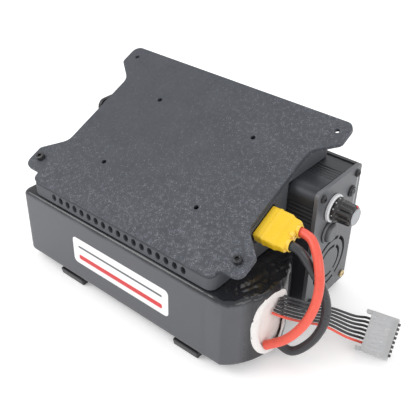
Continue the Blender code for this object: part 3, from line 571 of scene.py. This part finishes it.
leads = dict(radius=2.75, routes=dict(
    # from the pack's open end, up in front of it and back into the plug
    lead_red=[(87.23, -35.2, 14.4), (97.6, -31.0, 22.8), (105.0, -26.6, 34.9), (108.1, -22.4, 47.6),
              (107.3, -18.6, 59.4), (103.6, -15.0, 68.6), (98.4, -11.0, 74.6), (93.2, -7.9, 77.9),
              (88.0, -6.79, 78.65), (84.6, -6.79, 78.65)],
    lead_black=[(88.35, -26.6, 12.2), (98.4, -24.0, 8.6), (106.4, -18.6, 16.4), (110.6, -14.4, 28.4),
                (110.4, -12.2, 40.8), (106.4, -12.1, 52.4), (99.8, -13.9, 63.2), (92.6, -15.2, 72.0),
                (88.2, -15.61, 74.15), (84.6, -15.61, 74.15)]))
wires = dict(radius=0.8, count=7, pitch=2.5, first=(-31.4, 37.0), step=1.35, bunch=(107.0, -4.3, 19.6))
clip = dict(corner=(126.2, 10.3, 0.1), along=(0.976, 0.219, 0.0), across=(-0.161, 0.729, 0.665),
            size=(16.0, 25.0, 8.0))
clip["along"], clip["across"] = unit(np.array(clip["along"])), unit(np.array(clip["across"]))
clip["up"] = np.cross(clip["along"], clip["across"])


def onClip(a, b, c):
    # along the wires, across them and up the connector's thickness
    grow = [np.asarray(v, float)[..., None] for v in (a, b, c)]
    return np.array(clip["corner"]) + grow[0] * clip["along"] + grow[1] * clip["across"] + grow[2] * clip["up"]


packLow, packHigh = span("battery_wrap")
wrap = dict(reach=15.8, noseY=-24.0, corner=4.0, edge=3.4, thickness=0.7, hold=0.15)
wrap["end"] = packHigh[0] - wrap["reach"]       # where the straight part of the pack ends


def noseLine(y, inset=0.0):
    # X of the bowed end: end + reach * bow - inset, where bow falls from 1 at noseY to 0 at both sides,
    # as (1 - s^2.2)^0.8 to the front and (1 - s^1.6)^1.2 to the back
    y0, y1, peak = packLow[1], packHigh[1], wrap["noseY"]
    front = np.clip((peak - y) / (peak - y0 - inset), 0, 1)
    back = np.clip((y - peak) / (y1 - inset - peak), 0, 1)
    bow = np.where(y < peak, (1 - front**2.2) ** 0.8, (1 - back**1.6) ** 1.2)
    return wrap["end"] + wrap["reach"] * bow - inset


def wireRoute(k):
    # wire k leaves the pack's end, drops into the bunch and fans out again to its place in the connector
    y, z = np.array(wires["first"]) + wires["step"] * k
    start = np.array([float(noseLine(y, 2.3)) + 1.0, y, z])
    bunch = np.array(wires["bunch"]) + (0, 1.3 * k, 1.4 * k)
    first = (clip["size"][1] - wires["pitch"] * (wires["count"] - 1)) / 2
    end = onClip(-0.3, first + k * wires["pitch"], clip["size"][2] / 2)
    drop = np.array([0, 0, -1.0])
    return [start, start + (6.0, 3.4, -2.2), start + 0.6 * (bunch - start) + drop, bunch,
            bunch + 0.55 * (end - bunch) + drop, end - clip["along"] * 3.0, end]


def makeCords():
    made, paths = {}, {}
    for name, route in leads["routes"].items():
        path = smoothPath(route, 1.6)
        points, faces = skin(tube(path, leads["radius"], 28))
        paint = "red_silicone" if name == "lead_red" else "black_silicone"
        made[name] = makePiece(name.replace("lead_", "lead_skin_"), points, faces, "body", paint, [name])
        paths[name] = path
    for k in range(wires["count"]):
        path = smoothPath(wireRoute(k), 1.2)
        points, faces = skin(tube(path, wires["radius"], 14))
        paint = "red_silicone" if k == 0 else "black_silicone"
        name = f"balance_wire_{k + 1}"
        made[name] = makePiece(f"wire_skin_{k + 1}", points, faces, "body", paint, [name])
        paths[name] = path
    return paths, made


cordPaths, cords = makeCords()
print("leads and wires laid:", len(cords))


# ---- rails ----

for name in ("rail_left", "rail_right"):
    softened(name, 0.6, "rail_plastic", 3)


# ---- battery pack ----

def packRing(inset, counts=(120, 96, 9, 44)):
    # plan of the pack at an inset (an array gives one ring a row): the bowed end, the back, the two
    # rounded corners on the left with the end between them, and the front
    inset = np.asarray(inset, float)[:, None]
    y0, y1 = packLow[1] + inset, packHigh[1] - inset
    left, corner = packLow[0] + inset, wrap["corner"]
    sway = np.linspace(0, 1, counts[0], endpoint=False)
    y = y0 + (y1 - y0) * (0.5 - 0.5 * np.cos(np.pi * sway))
    parts = [np.stack([noseLine(y, inset), y], axis=-1)]
    run = np.linspace(0, 1, counts[1], endpoint=False)
    end = wrap["end"] - inset
    parts.append(np.stack([end + (left + corner - end) * run, y1 + 0 * run], axis=-1))
    arc = np.linspace(0, np.pi / 2, counts[2], endpoint=False)
    parts.append(np.stack([left + corner - corner * np.sin(arc), y1 - corner + corner * np.cos(arc)], axis=-1))
    down = np.linspace(0, 1, counts[3], endpoint=False)
    parts.append(np.stack([left + 0 * down, y1 - corner + (y0 - y1 + 2 * corner) * down], axis=-1))
    parts.append(np.stack([left + corner - corner * np.cos(arc), y0 + corner - corner * np.sin(arc)], axis=-1))
    parts.append(np.stack([left + corner + (end - left - corner) * run, y0 + 0 * run], axis=-1))
    return np.concatenate(parts, axis=1)


opening = dict(centre=(-30.3, 29.5), half=(15.4, 22.5))


def openingSpot(angle, grow=0.0):
    # hole in the pack's end: an ellipse, fuller towards its upper left
    y, z = np.cos(angle), np.sin(angle)
    full = 1 + 0.07 * np.clip(z, 0, 1) * np.clip(-y, 0, 1) * 2
    return (opening["centre"][0] + (opening["half"][0] + grow) * y * full,
            opening["centre"][1] + (opening["half"][1] + grow) * z * full)


def makeWrap():
    # rows run from under the pack, round its lower edge, up the side, round the upper edge and in over the
    # top; each row is the plan at that row's inset, pushed in along its normal by folds of the film
    edge, hold = wrap["edge"], wrap["hold"]
    z0, z1 = packLow[2], packHigh[2]
    turn = np.linspace(0, np.pi / 2, 8)
    lower = np.column_stack([edge * (1 - np.sin(turn)), z0 + edge * (1 - np.cos(turn))])
    side = np.column_stack([np.zeros(44), np.linspace(z0 + edge, z1 - edge, 46)[1:-1]])
    upper = np.column_stack([edge * (1 - np.cos(turn)), z1 - edge * (1 - np.sin(turn))])
    under = np.column_stack([np.linspace(24, edge + 3, 8), np.full(8, z0)])
    over = np.column_stack([np.linspace(edge + 0.9, 28, 28), np.full(28, z1)])
    profile = np.vstack([under, lower, side, upper, over])
    plan, deeper = packRing(profile[:, 0]), packRing(profile[:, 0] + 0.2)
    inward = unit(deeper - plan + 1e-9)
    points = np.concatenate([plan, np.broadcast_to(profile[:, 1, None, None], (*plan.shape[:2], 1))], axis=-1)
    upright = np.clip(profile[:, 0] / edge, 0, 1)[:, None]
    facing = np.where(profile[:, 1, None] > 30, -1.0, 1.0) * upright
    level = np.sqrt(1 - np.clip(upright, 0, 1) ** 2)
    x, y, z = points[..., 0], points[..., 1], points[..., 2]
    # folds: ridges 1 - |wave| gathered near the bowed end and along its upper edge
    atEnd = step(wrap["end"] - 16, wrap["end"] + 2, x)
    nearTop = step(z1 - 14, z1 - 1, z)
    folds = 1 - np.abs(waves(points * (1.0, 0.55, 0.5), 15, 3))
    ridges = 1 - np.abs(waves(points * (1.0, 0.8, 0.35), 7, 8))
    depth = hold + 0.25 * (0.5 + 0.5 * waves(points, 46, 5))
    depth += atEnd * (0.9 * nearTop * folds**2 + 0.35 * nearTop * ridges**2 + 0.12 * folds)
    depth = np.clip(depth, 0, 2.6)
    front = y < packLow[1] + 2
    depth = np.where(front & (x < wrap["end"] - 12), hold, depth)
    points[..., :2] += inward * (depth * np.maximum(level, 0.0))[..., None]
    points[..., 2] += facing * depth
    rows, columns = points.shape[:2]
    flat, faces = skin(points)
    # the hole: cells whose middle lies inside it go, and the points left on its rim move onto it
    relative = (flat[:, 1:] - opening["centre"])
    angle = np.arctan2(relative[:, 1] / opening["half"][1], relative[:, 0] / opening["half"][0])
    rimY, rimZ = openingSpot(angle)
    toRim = np.hypot(rimY - opening["centre"][0], rimZ - opening["centre"][1])
    reach = np.hypot(relative[:, 0], relative[:, 1]) / toRim
    inside = (reach < 1.0) & (flat[:, 0] > wrap["end"] - 2) & (np.abs(flat[:, 2] - 30) < 23.5)
    cells = np.array([face + [face[-1]] * (4 - len(face)) for face in faces])
    gone = inside[cells].mean(1) > 0.5
    kept = [face for face, out in zip(faces, gone) if not out]
    rim = np.intersect1d(np.unique(cells[gone]), np.unique(cells[~gone]))
    flat[rim, 1], flat[rim, 2] = rimY[rim], rimZ[rim]
    used = np.unique(cells[~gone])
    renumber = np.zeros(len(flat), int)
    renumber[used] = np.arange(len(used))
    kept = [[int(renumber[corner]) for corner in face] for face in kept]
    piece = makePiece("film_wrap", flat[used], kept, "body", "film", ["battery_wrap"], 60)
    wall = piece.modifiers.new("film thickness", "SOLIDIFY")
    wall.thickness = wrap["thickness"] * mm
    wall.offset = -1
    return piece


def makeLip():
    # the film's edge folded in round the hole: a flattened ring, section (w cos t, h sin t), wide on the
    # left and at the top and narrow at the bottom, that follows the bowed end and wanders in width
    around = np.arange(240) * 2 * np.pi / 240
    turn = np.arange(20) * 2 * np.pi / 20
    wide = 2.0 + 0.65 * np.clip(-np.cos(around), 0, 1) + 0.5 * np.sin(around)
    y0, z0 = openingSpot(around, 0.5)
    spots = np.stack([0 * y0, y0, z0], axis=-1)
    width = wide + 0.25 * waves(spots, 16, 21)
    height = 0.75 + 0.2 * waves(spots, 8, 22)
    outY, outZ = np.cos(around), np.sin(around)
    spread = (width[:, None] * (np.cos(turn) - 1))
    y = y0[:, None] + outY[:, None] * spread
    z = np.clip(z0[:, None] + outZ[:, None] * spread, packLow[2] + 1.0, packHigh[2] - 0.8)
    topFall = 1.2 * step(packHigh[2] - 4, packHigh[2] - 0.8, z)
    x = noseLine(y) - 0.6 - topFall + height[:, None] * np.sin(turn)
    x = np.minimum(x, packHigh[0] - 0.05)
    points, faces = skin(np.stack([x, y, z], axis=-1), closed=False)
    columns = len(turn)
    last = np.arange(columns) + (len(around) - 1) * columns
    seam = np.stack([last, np.roll(last, -1), np.roll(np.arange(columns), -1), np.arange(columns)], axis=-1)
    faces = outward(points, faces + seam.tolist())
    makePiece("film_lip", points, faces, "body", "film", (), 70, "lipWhite")


def makeFoam():
    # foam block behind the hole: the bowed plan at a small inset, closed by a straight back, its corners
    # eased at top and bottom, its face uneven
    low, high = span("end_insulator")
    z = np.concatenate([[low[2]], low[2] + 1.5 * (1 - np.cos(np.linspace(0.3, np.pi / 2, 4))),
                        np.linspace(low[2] + 2.5, high[2] - 2.5, 40),
                        high[2] - 1.5 * (1 - np.cos(np.linspace(np.pi / 2, 0.3, 4))), [high[2]]])
    inset = 2.35 + 1.4 * (1 - step(0, 1.6, z - low[2])) + 1.4 * (1 - step(0, 1.6, high[2] - z))
    sway = np.linspace(0, 1, 80)
    y0, y1 = packLow[1] + inset[:, None] + 0.6, packHigh[1] - inset[:, None] - 0.6
    y = y0 + (y1 - y0) * (0.5 - 0.5 * np.cos(np.pi * sway))
    x = noseLine(y, inset[:, None])
    back = np.full((len(z), 30), low[0])
    backY = y1 + (y0 - y1) * np.linspace(0, 1, 32)[1:-1]
    grid = np.stack([np.hstack([np.maximum(x, low[0]), back]), np.hstack([y, backY]),
                     np.broadcast_to(z[:, None], (len(z), 110))], axis=-1)
    grid[:, :80, 0] -= 0.35 * (0.5 + 0.5 * waves(grid[:, :80], 11, 31)) * (grid[:, :80, 0] > low[0] + 1.0)
    points, faces = skin(grid)
    makePiece("foam_block", points, faces, "body", "insulator", ["end_insulator"], 60)


makeWrap()
makeLip()
makeFoam()
print("pack wrapped")


# ---- sticker on the pack's front ----

# a plain label with two stripes, as (low X, high X, low Z, high Z, corner radius)
sticker = dict(y=packLow[1], backing=(-48.0, 34.0, 20.0, 40.0, 3.0), wide=(-43.0, 29.0, 24.0, 27.5, 1.2),
               narrow=(-43.0, 29.0, 33.0, 34.5, 0.7))


def patch(name, outlines, lift, paint):
    # flat shapes on the pack's front, each a thin slab with a narrow border step
    parts = []
    for outline in outlines:
        ring = roundedOutline(outline, 4)
        middle = ring.mean(0)
        inner = middle + (ring - middle) * 0.992
        depth = [sticker["y"] + 0.12, sticker["y"] + 0.12 - lift]
        rows = [np.column_stack([ring[:, 0], np.full(len(ring), depth[0]), ring[:, 1]]),
                np.column_stack([ring[:, 0], np.full(len(ring), depth[1] + 0.01), ring[:, 1]]),
                np.column_stack([inner[:, 0], np.full(len(ring), depth[1]), inner[:, 1]])]
        parts.append(skin(np.array(rows)))
    points, faces = gather(parts)
    return makePiece(name, points, faces, "body", "film", (), 30, paint)


def makeSticker():
    for name, key, lift, paint in (("sticker_backing", "backing", 0.05, "stickerWhite"),
                                   ("sticker_stripe", "wide", 0.08, "stickerRed"),
                                   ("sticker_line", "narrow", 0.08, "stickerDark")):
        x0, x1, z0, z1, radius = sticker[key]
        patch(name, [[(x0, z0, radius), (x1, z0, radius), (x1, z1, radius), (x0, z1, radius)]], lift, paint)


makeSticker()
print("sticker laid")


# ---- load box ----

def middleOf(node):
    # the Y and Z of a round piece's axis
    low, high = span(node)
    return (low[1:] + high[1:]) / 2


softened("case_shell", 0.25, "anodised")
softened("front_panel", 0.35, "panel_metal")
softened("rear_panel", 0.35, "rear_metal")


def crossHead(name, way, paint):
    # pan head: a dome h = rise * sqrt(1 - (r/R)^2) with a cross cut in, over a plain rim; the cut's depth
    # fades at its edge with a smooth step
    low, high = span(name)
    centre = middleOf(name)
    radius = (high[1] - low[1]) / 2 - 0.02
    face = low[0] if way < 0 else high[0]
    seat, rise, rim = face - way * 1.7, 1.0, 0.65
    share = np.append(np.linspace(1, 0.9, 5), np.linspace(0.87, 0.0, 26))[:, None]
    angle = np.arange(72) * 2 * np.pi / 72
    r = share * radius
    across, upward = np.abs(r * np.cos(angle + 0.5)), np.abs(r * np.sin(angle + 0.5))
    narrow, long = np.minimum(across, upward), np.maximum(across, upward)
    cut = (1 - step(0.26, 0.42, narrow)) * (1 - step(1.25, 1.5, long))
    dome = seat + way * (rim + rise * np.sqrt(np.clip(1 - share**2.6, 0, 1)))
    top = dome - way * 0.9 * cut
    grid = np.stack([top, centre[0] + r * np.cos(angle), centre[1] + r * np.sin(angle)], axis=-1)
    profile = [(seat - way * 6, 1.1), (seat, 1.1), (seat, radius - 0.15), (seat + way * 0.15, radius)]
    shank = turned(centre, profile, 72)
    points, faces = skin(np.vstack([shank, grid]))
    makePiece(name + "_head", points, faces, "body", paint, [name], 35)


for k in range(4):
    crossHead(f"front_screw_{k + 1}", 1, "brass" if k == 2 else "black_steel")
    crossHead(f"rear_screw_{k + 1}", -1, "black_steel")


# the glint entries place white dots on the skirt, painted highlights standing in for glints of light
knobLook = dict(flutes=10, depth=0.95, glintRadius=0.36, glintStep=30, glintStart=-60, pointerAt=72)


def makeKnob():
    # the grip's radius is r - depth * w(flutes * t), with w a raised cosine squared, so the ridges stay
    # broad and the grooves narrow; the depth is nought on the skirt and at the front edge
    low, high = span("knob")
    centre = middleOf("knob")
    base, top = low[0], high[0]
    profile = eased([(base, 6.9), (base, 8.0), (base + 1.5, 8.0), (base + 2.6, 7.25), (base + 3.4, 7.05),
                     (top - 0.9, 6.65), (top, 5.9), (top, 5.5)], 0.7, 4)
    long = np.linspace(base + 3.6, top - 1.1, 12)
    upto = profile[profile[:, 0] <= base + 3.4]
    beyond = profile[profile[:, 0] >= top - 1.0]
    grip = np.column_stack([long, np.interp(long, [base + 3.4, top - 0.9], [7.05, 6.65])])
    profile = np.vstack([upto, grip, beyond])

    def fluted(x, radius, angle):
        depth = knobLook["depth"] * step(base + 2.7, base + 4.4, x) * (1 - step(top - 0.9, top - 0.1, x))
        groove = (0.5 + 0.5 * np.cos(knobLook["flutes"] * angle)) ** 2
        return radius - depth * groove

    points, faces = skin(turned(centre, profile, 160, fluted))
    makePiece("knob_grip", points, faces, "dial", "knob_plastic", ["knob"], 50)
    # painted highlights: white dots round the skirt stand in for glints of light on it, and the pointer on the
    # grip's front rim
    glintDots = []
    for angle in np.radians(np.arange(0, 330, knobLook["glintStep"]) + knobLook["glintStart"]):
        turn = np.arange(10) * 2 * np.pi / 10
        spot = np.array([base + 0.9, *(centre + 8.02 * np.array([np.cos(angle), np.sin(angle)]))])
        away = np.array([0, np.cos(angle), np.sin(angle)])
        aside = np.array([0, -np.sin(angle), np.cos(angle)])
        ring = (spot + knobLook["glintRadius"] * (np.cos(turn)[:, None] * np.array([1.0, 0, 0]) + np.sin(turn)[:, None] * aside))
        glintDots.append(skin(np.array([ring - 0.3 * away, ring + 0.03 * away])))
    points, faces = gather(glintDots)
    makePiece("knob_glint_dots", points, faces, "dial", "white_plastic")
    high = radians(knobLook["pointerAt"])
    away, aside = np.array([0, np.cos(high), np.sin(high)]), np.array([0, -np.sin(high), np.cos(high)])
    middle = np.array([top - 0.05, *(centre + 5.9 * away[1:])])
    outline = roundedOutline([(-0.5, -0.55, 0.2), (0.5, -0.55, 0.2), (0.5, 0.75, 0.2), (-0.5, 0.75, 0.2)], 3)
    ring = middle + outline[:, :1] * aside + outline[:, 1:] * (away + (-0.55, 0, 0))
    points, faces = skin(np.array([ring - (0.5, 0, 0), ring + (0.05, 0, 0)]))
    makePiece("knob_pointer", points, faces, "dial", "red_silicone", look="pointerRed")


def makeControls():
    low, high = span("knob_cap")
    profile = [(low[0], 5.4), (high[0] - 0.35, 5.4), (high[0] - 0.05, 5.05), (high[0], 4.6), (high[0] - 0.25, 4.2),
               (high[0] - 0.28, 2.4), (high[0] - 0.2, 0.8)]
    points, faces = skin(turned(middleOf("knob_cap"), eased(profile, 0.3, 3), 72))
    makePiece("knob_disc", points, faces, "dial", "silver", ["knob_cap"])

    low, high = span("scale_ring")
    profile = [(low[0], 6.85), (low[0], 8.9), (high[0] - 0.6, 8.9), (high[0], 8.4), (high[0], 7.4),
               (high[0] - 0.5, 6.95), (low[0] + 0.6, 6.85), (low[0], 6.85)]
    grid = turned(middleOf("scale_ring"), eased(profile, 0.35, 4), 96)
    points, faces = hoop(grid)
    makePiece("scale_rim", points, faces, "body", "white_plastic", ["scale_ring"])

    low, high = span("button_cap")
    profile = [(low[0], 5.6), (low[0] + 0.3, 5.9), (high[0] - 1.3, 5.9), (high[0] - 0.25, 5.35), (high[0], 4.2),
               (high[0] - 0.12, 1.5)]
    points, faces = skin(turned(middleOf("button_cap"), eased(profile, 0.8, 5), 72))
    makePiece("button_dome", points, faces, "button", "panel_metal", ["button_cap"])
    low, high = span("button_bezel")
    profile = [(low[0], 6.3), (low[0], 7.8), (low[0] + 0.6, 7.7), (high[0], 7.05), (high[0], 6.5),
               (high[0] - 0.4, 6.3), (low[0], 6.3)]
    points, faces = hoop(turned(middleOf("button_bezel"), eased(profile, 0.3, 3), 72))
    makePiece("button_collar", points, faces, "body", "panel_metal", ["button_bezel"])

    low, high = span("lamp_bezel")
    profile = [(low[0], 2.8), (low[0], 3.9), (high[0] - 0.3, 3.75), (high[0], 3.4), (high[0], 3.0),
               (high[0] - 0.3, 2.8), (low[0], 2.8)]
    points, faces = hoop(turned(middleOf("lamp_bezel"), eased(profile, 0.3, 3), 48))
    makePiece("lamp_collar", points, faces, "body", "black_plastic", ["lamp_bezel"])
    low, high = span("lamp")
    rise = np.linspace(0, np.pi / 2, 9)
    dome = np.column_stack([high[0] - 1.9 + 1.9 * np.sin(rise), 2.45 * np.cos(rise) + 0.02])
    profile = np.vstack([[(low[0], 2.45)], dome])
    points, faces = skin(turned(middleOf("lamp"), profile, 48))
    makePiece("lamp_lens", points, faces, "body", "lamp_glass", ["lamp"])


def makePanelStrip():
    # a narrow bright strip by the panel's right edge
    low, high = span("front_panel")
    outline = roundedOutline([(54.9, 64.0, 0.5), (56.2, 64.0, 0.5), (57.0, 85.0, 0.5), (55.7, 85.0, 0.5)], 3)
    rows = [np.column_stack([np.full(len(outline), x), outline]) for x in (high[0] - 0.2, high[0] + 0.02)]
    points, faces = skin(np.array(rows))
    makePiece("panel_strip", points, faces, "body", "silver")


makeKnob()
makeControls()
makePanelStrip()
softened("fan_frame", 0.3, "black_plastic")
softened("fan_rotor", 0.15, "fan_plastic")
print("load box finished")


# ---- wedge ----

softened("printed_housing", 0.5, "printed")
softened("sloped_plate", 0.5, "printed", 3, look="printedTop")
plateLow = span("sloped_plate")[0]
slope = radians(25)
front = dict(y=plateLow[1], z=65.5)


def onPlate(x, along, above):
    # the plate's own X, the way up its slope and the height over it, in the row frame
    y = front["y"] + along * np.cos(slope) - above * np.sin(slope)
    z = front["z"] + along * np.sin(slope) + above * np.cos(slope)
    return np.stack(np.broadcast_arrays(x, y, z), axis=-1)


def makeEarScrews():
    # socket head: knurled rim r = R + 0.07 cos 30t, eased top edge, then the hexagon of the key, whose
    # radius is a / cos of the angle from its nearest flat
    angle = np.arange(120) * 2 * np.pi / 120
    key = 1.26 / np.cos(np.mod(angle + np.pi / 6, np.pi / 3) - np.pi / 6)
    knurl = 0.06 * np.cos(30 * angle)
    rings = [(-7.5, 1.2 + 0 * angle), (0.3, 1.2 + 0 * angle), (0.3, 2.6 + 0 * angle), (0.4, 2.68 + knurl),
             (2.7, 2.68 + knurl), (3.0, 2.62 + 0 * angle), (3.22, 2.45 + 0 * angle), (3.28, 2.2 + 0 * angle),
             (3.28, key + 0.12), (3.2, key), (1.7, key), (1.6, key * 0.92), (1.3, key * 0.2)]
    for k in range(2):
        name = f"ear_screw_{k + 1}"
        low, high = span(name)
        x0 = (low[0] + high[0]) / 2
        along = 15.7
        grid = np.array([onPlate(x0 + r * np.cos(angle), along + r * np.sin(angle), above) for above, r in rings])
        points, faces = skin(grid)
        makePiece(name + "_socket", points, faces, "body", "black_steel", [name], 35)


makeEarScrews()
print("wedge finished")


# ---- plug ----

plug = dict(roll=radians(27), half=(10.9, 4.7), clipped=2.6, rib=0.3, pole=4.95)


def makePlug():
    # rounded section with two corners cut as the polarity mark, scaled along X: plain, a rib, plain,
    # then narrower where the two solder cups stand
    low, high = span("power_plug")
    centre = middleOf("power_plug")
    w, h = plug["half"]
    c = plug["clipped"]
    flat = [(-w, -h + c, 0.8), (-w + c, -h, 0.8), (w - c, -h, 0.8), (w, -h + c, 0.8), (w, h, 1.4), (-w, h, 1.4)]
    outline = roundedOutline(flat, 5)
    x0 = low[0]
    grow = plug["rib"]
    profile = eased([(x0, -0.4), (x0 + 0.4, 0), (x0 + 5.0, 0), (x0 + 5.3, grow), (x0 + 6.8, grow), (x0 + 7.1, 0),
                     (x0 + 13.6, 0), (x0 + 15.6, -0.8), (high[0] - 0.6, -1.0), (high[0], -1.3)], 0.25, 3)
    sizes = 1 + profile[:, 1][:, None] / np.array([w, h])
    section = outline[None] * sizes[:, None, :]
    cos, sin = np.cos(plug["roll"]), np.sin(plug["roll"])
    y = centre[0] + section[..., 0] * cos - section[..., 1] * sin
    z = centre[1] + section[..., 0] * sin + section[..., 1] * cos
    grid = np.stack([np.broadcast_to(profile[:, :1], y.shape), y, z], axis=-1)
    parts = [skin(grid)]
    # cups round the two leads: rings with a thick wall, longer underneath than on top
    turn = np.arange(48) * 2 * np.pi / 48
    for side in (1, -1):
        spot = centre + side * plug["pole"] * np.array([cos, sin])
        length = 1.7 + 0.4 * np.cos(turn + plug["roll"] + np.pi / 2)
        rows = []
        for share, r in ((-0.6, 3.7), (0.9, 3.66), (1.0, 3.5), (1.0, 3.2), (0.85, 3.02), (-0.6, 3.0), (-0.6, 3.7)):
            rows.append(np.column_stack([high[0] + length * share, spot[0] + r * np.cos(turn),
                                         spot[1] + r * np.sin(turn)]))
        parts.append(hoop(np.array(rows)))
    # a small catch between the cups, on the upper side
    tab = roundedOutline([(-1.5, 2.6, 0.3), (1.5, 2.6, 0.3), (1.1, 4.9, 0.4), (-1.1, 4.9, 0.4)], 3)
    y = centre[0] + tab[:, 0] * cos - tab[:, 1] * sin
    z = centre[1] + tab[:, 0] * sin + tab[:, 1] * cos
    rows = [np.column_stack([np.full(len(tab), high[0] + x), y, z]) for x in (-1.0, 1.3)]
    parts.append(skin(np.array(rows)))
    points, faces = gather(parts)
    return makePiece("plug_body", points, faces, "body", "plug_yellow", ["power_plug"], 35)


plugBody = makePlug()
softened("power_socket", 0.3, "black_plastic")


# ---- connector ----

def makeConnector():
    # housing with rounded edges, guards beside the wires and a window row on its face; a comb of contacts
    shell = softened("balance_connector", 0.7, "clear_nylon", 3)
    comb = softened("contact_comb", 0.15, "contact_metal")
    length, width, height = clip["size"]
    inner = []
    for k in range(wires["count"] + 1):
        b = 2.2 + k * (width - 6.0) / wires["count"]
        outline = roundedOutline([(2.6, b, 0.5), (9.8, b, 0.5), (9.8, b + 1.3, 0.5), (2.6, b + 1.3, 0.5)], 3)
        ring = [onClip(*outline.T, np.full(len(outline), c)) for c in (height - 0.35, height + 0.03)]
        inner.append(skin(np.array(ring)))
    points, faces = gather(inner)
    windows = makePiece("connector_windows", points, faces, "body", "clear_nylon", (), 40, "windowGrey")
    return shell, comb, windows


connector = makeConnector()
print("plug and connector finished")


# ---- what is inside, and anything left ----

inside = {"cell": "cell_foil", "control": "board_green", "power_transistor": "black_plastic",
          "heat": "aluminium", "capacitor": "capacitor_sleeve", "terminal": "terminal_green",
          "feed": "rubber", "pot_body": "black_plastic", "pot_nut": "steel", "pot_shaft": "steel",
          "button_switch": "black_plastic"}
for name, node in nodes.items():
    if not node.hide_render:
        slot = next(paint for start, paint in inside.items() if name.startswith(start))
        node.data.materials.clear()
        node.data.materials.append(paints[slot])


# ---- cord paths scaled to metres; nothing is kept ----

def declare(path):
    path = np.array(path) * mm


for name in ("lead_red", "lead_black"):
    path = cordPaths[name]
    declare(path)
for k in range(wires["count"]):
    name = f"balance_wire_{k + 1}"
    declare(cordPaths[name])


# ---- floor ----

def makeFloor():
    # a pale sheet that curves up behind: flat to 1.2, then rising as 1.5 (y - 1.2)^2
    run = np.linspace(-1.5, 1.5, 40)
    deep = np.linspace(-1.5, 1.6, 80)
    lift = np.clip(deep - 1.2, 0, None) ** 2 * 1.5
    x, y = np.meshgrid(run, deep)
    points = np.stack([x, y, np.broadcast_to(lift[:, None], x.shape)], axis=-1).reshape(-1, 3)
    data = bpy.data.meshes.new("floor")
    data.from_pydata(points.tolist(), [], gridFaces(80, 40, False).tolist())
    data.shade_smooth()
    material = bpy.data.materials.new("floor")
    material.use_nodes = True
    shader = material.node_tree.nodes["Principled BSDF"]
    place = newNode(material.node_tree, "TexCoord").outputs["Object"]
    soft = newNode(material.node_tree, "TexNoise", {"Vector": place, "Scale": 3.0}).outputs[0]
    tone = blendColours(material.node_tree, soft, (0.93, 0.93, 0.93, 1), (0.96, 0.96, 0.96, 1))
    material.node_tree.links.new(tone, shader.inputs["Base Color"])
    shader.inputs["Roughness"].default_value = 0.8
    shader.inputs["Emission Color"].default_value = (1, 1, 1, 1)
    shader.inputs["Emission Strength"].default_value = 0.22
    data.materials.append(material)
    floor = bpy.data.objects.new("floor", data)
    bpy.context.scene.collection.objects.link(floor)


makeFloor()
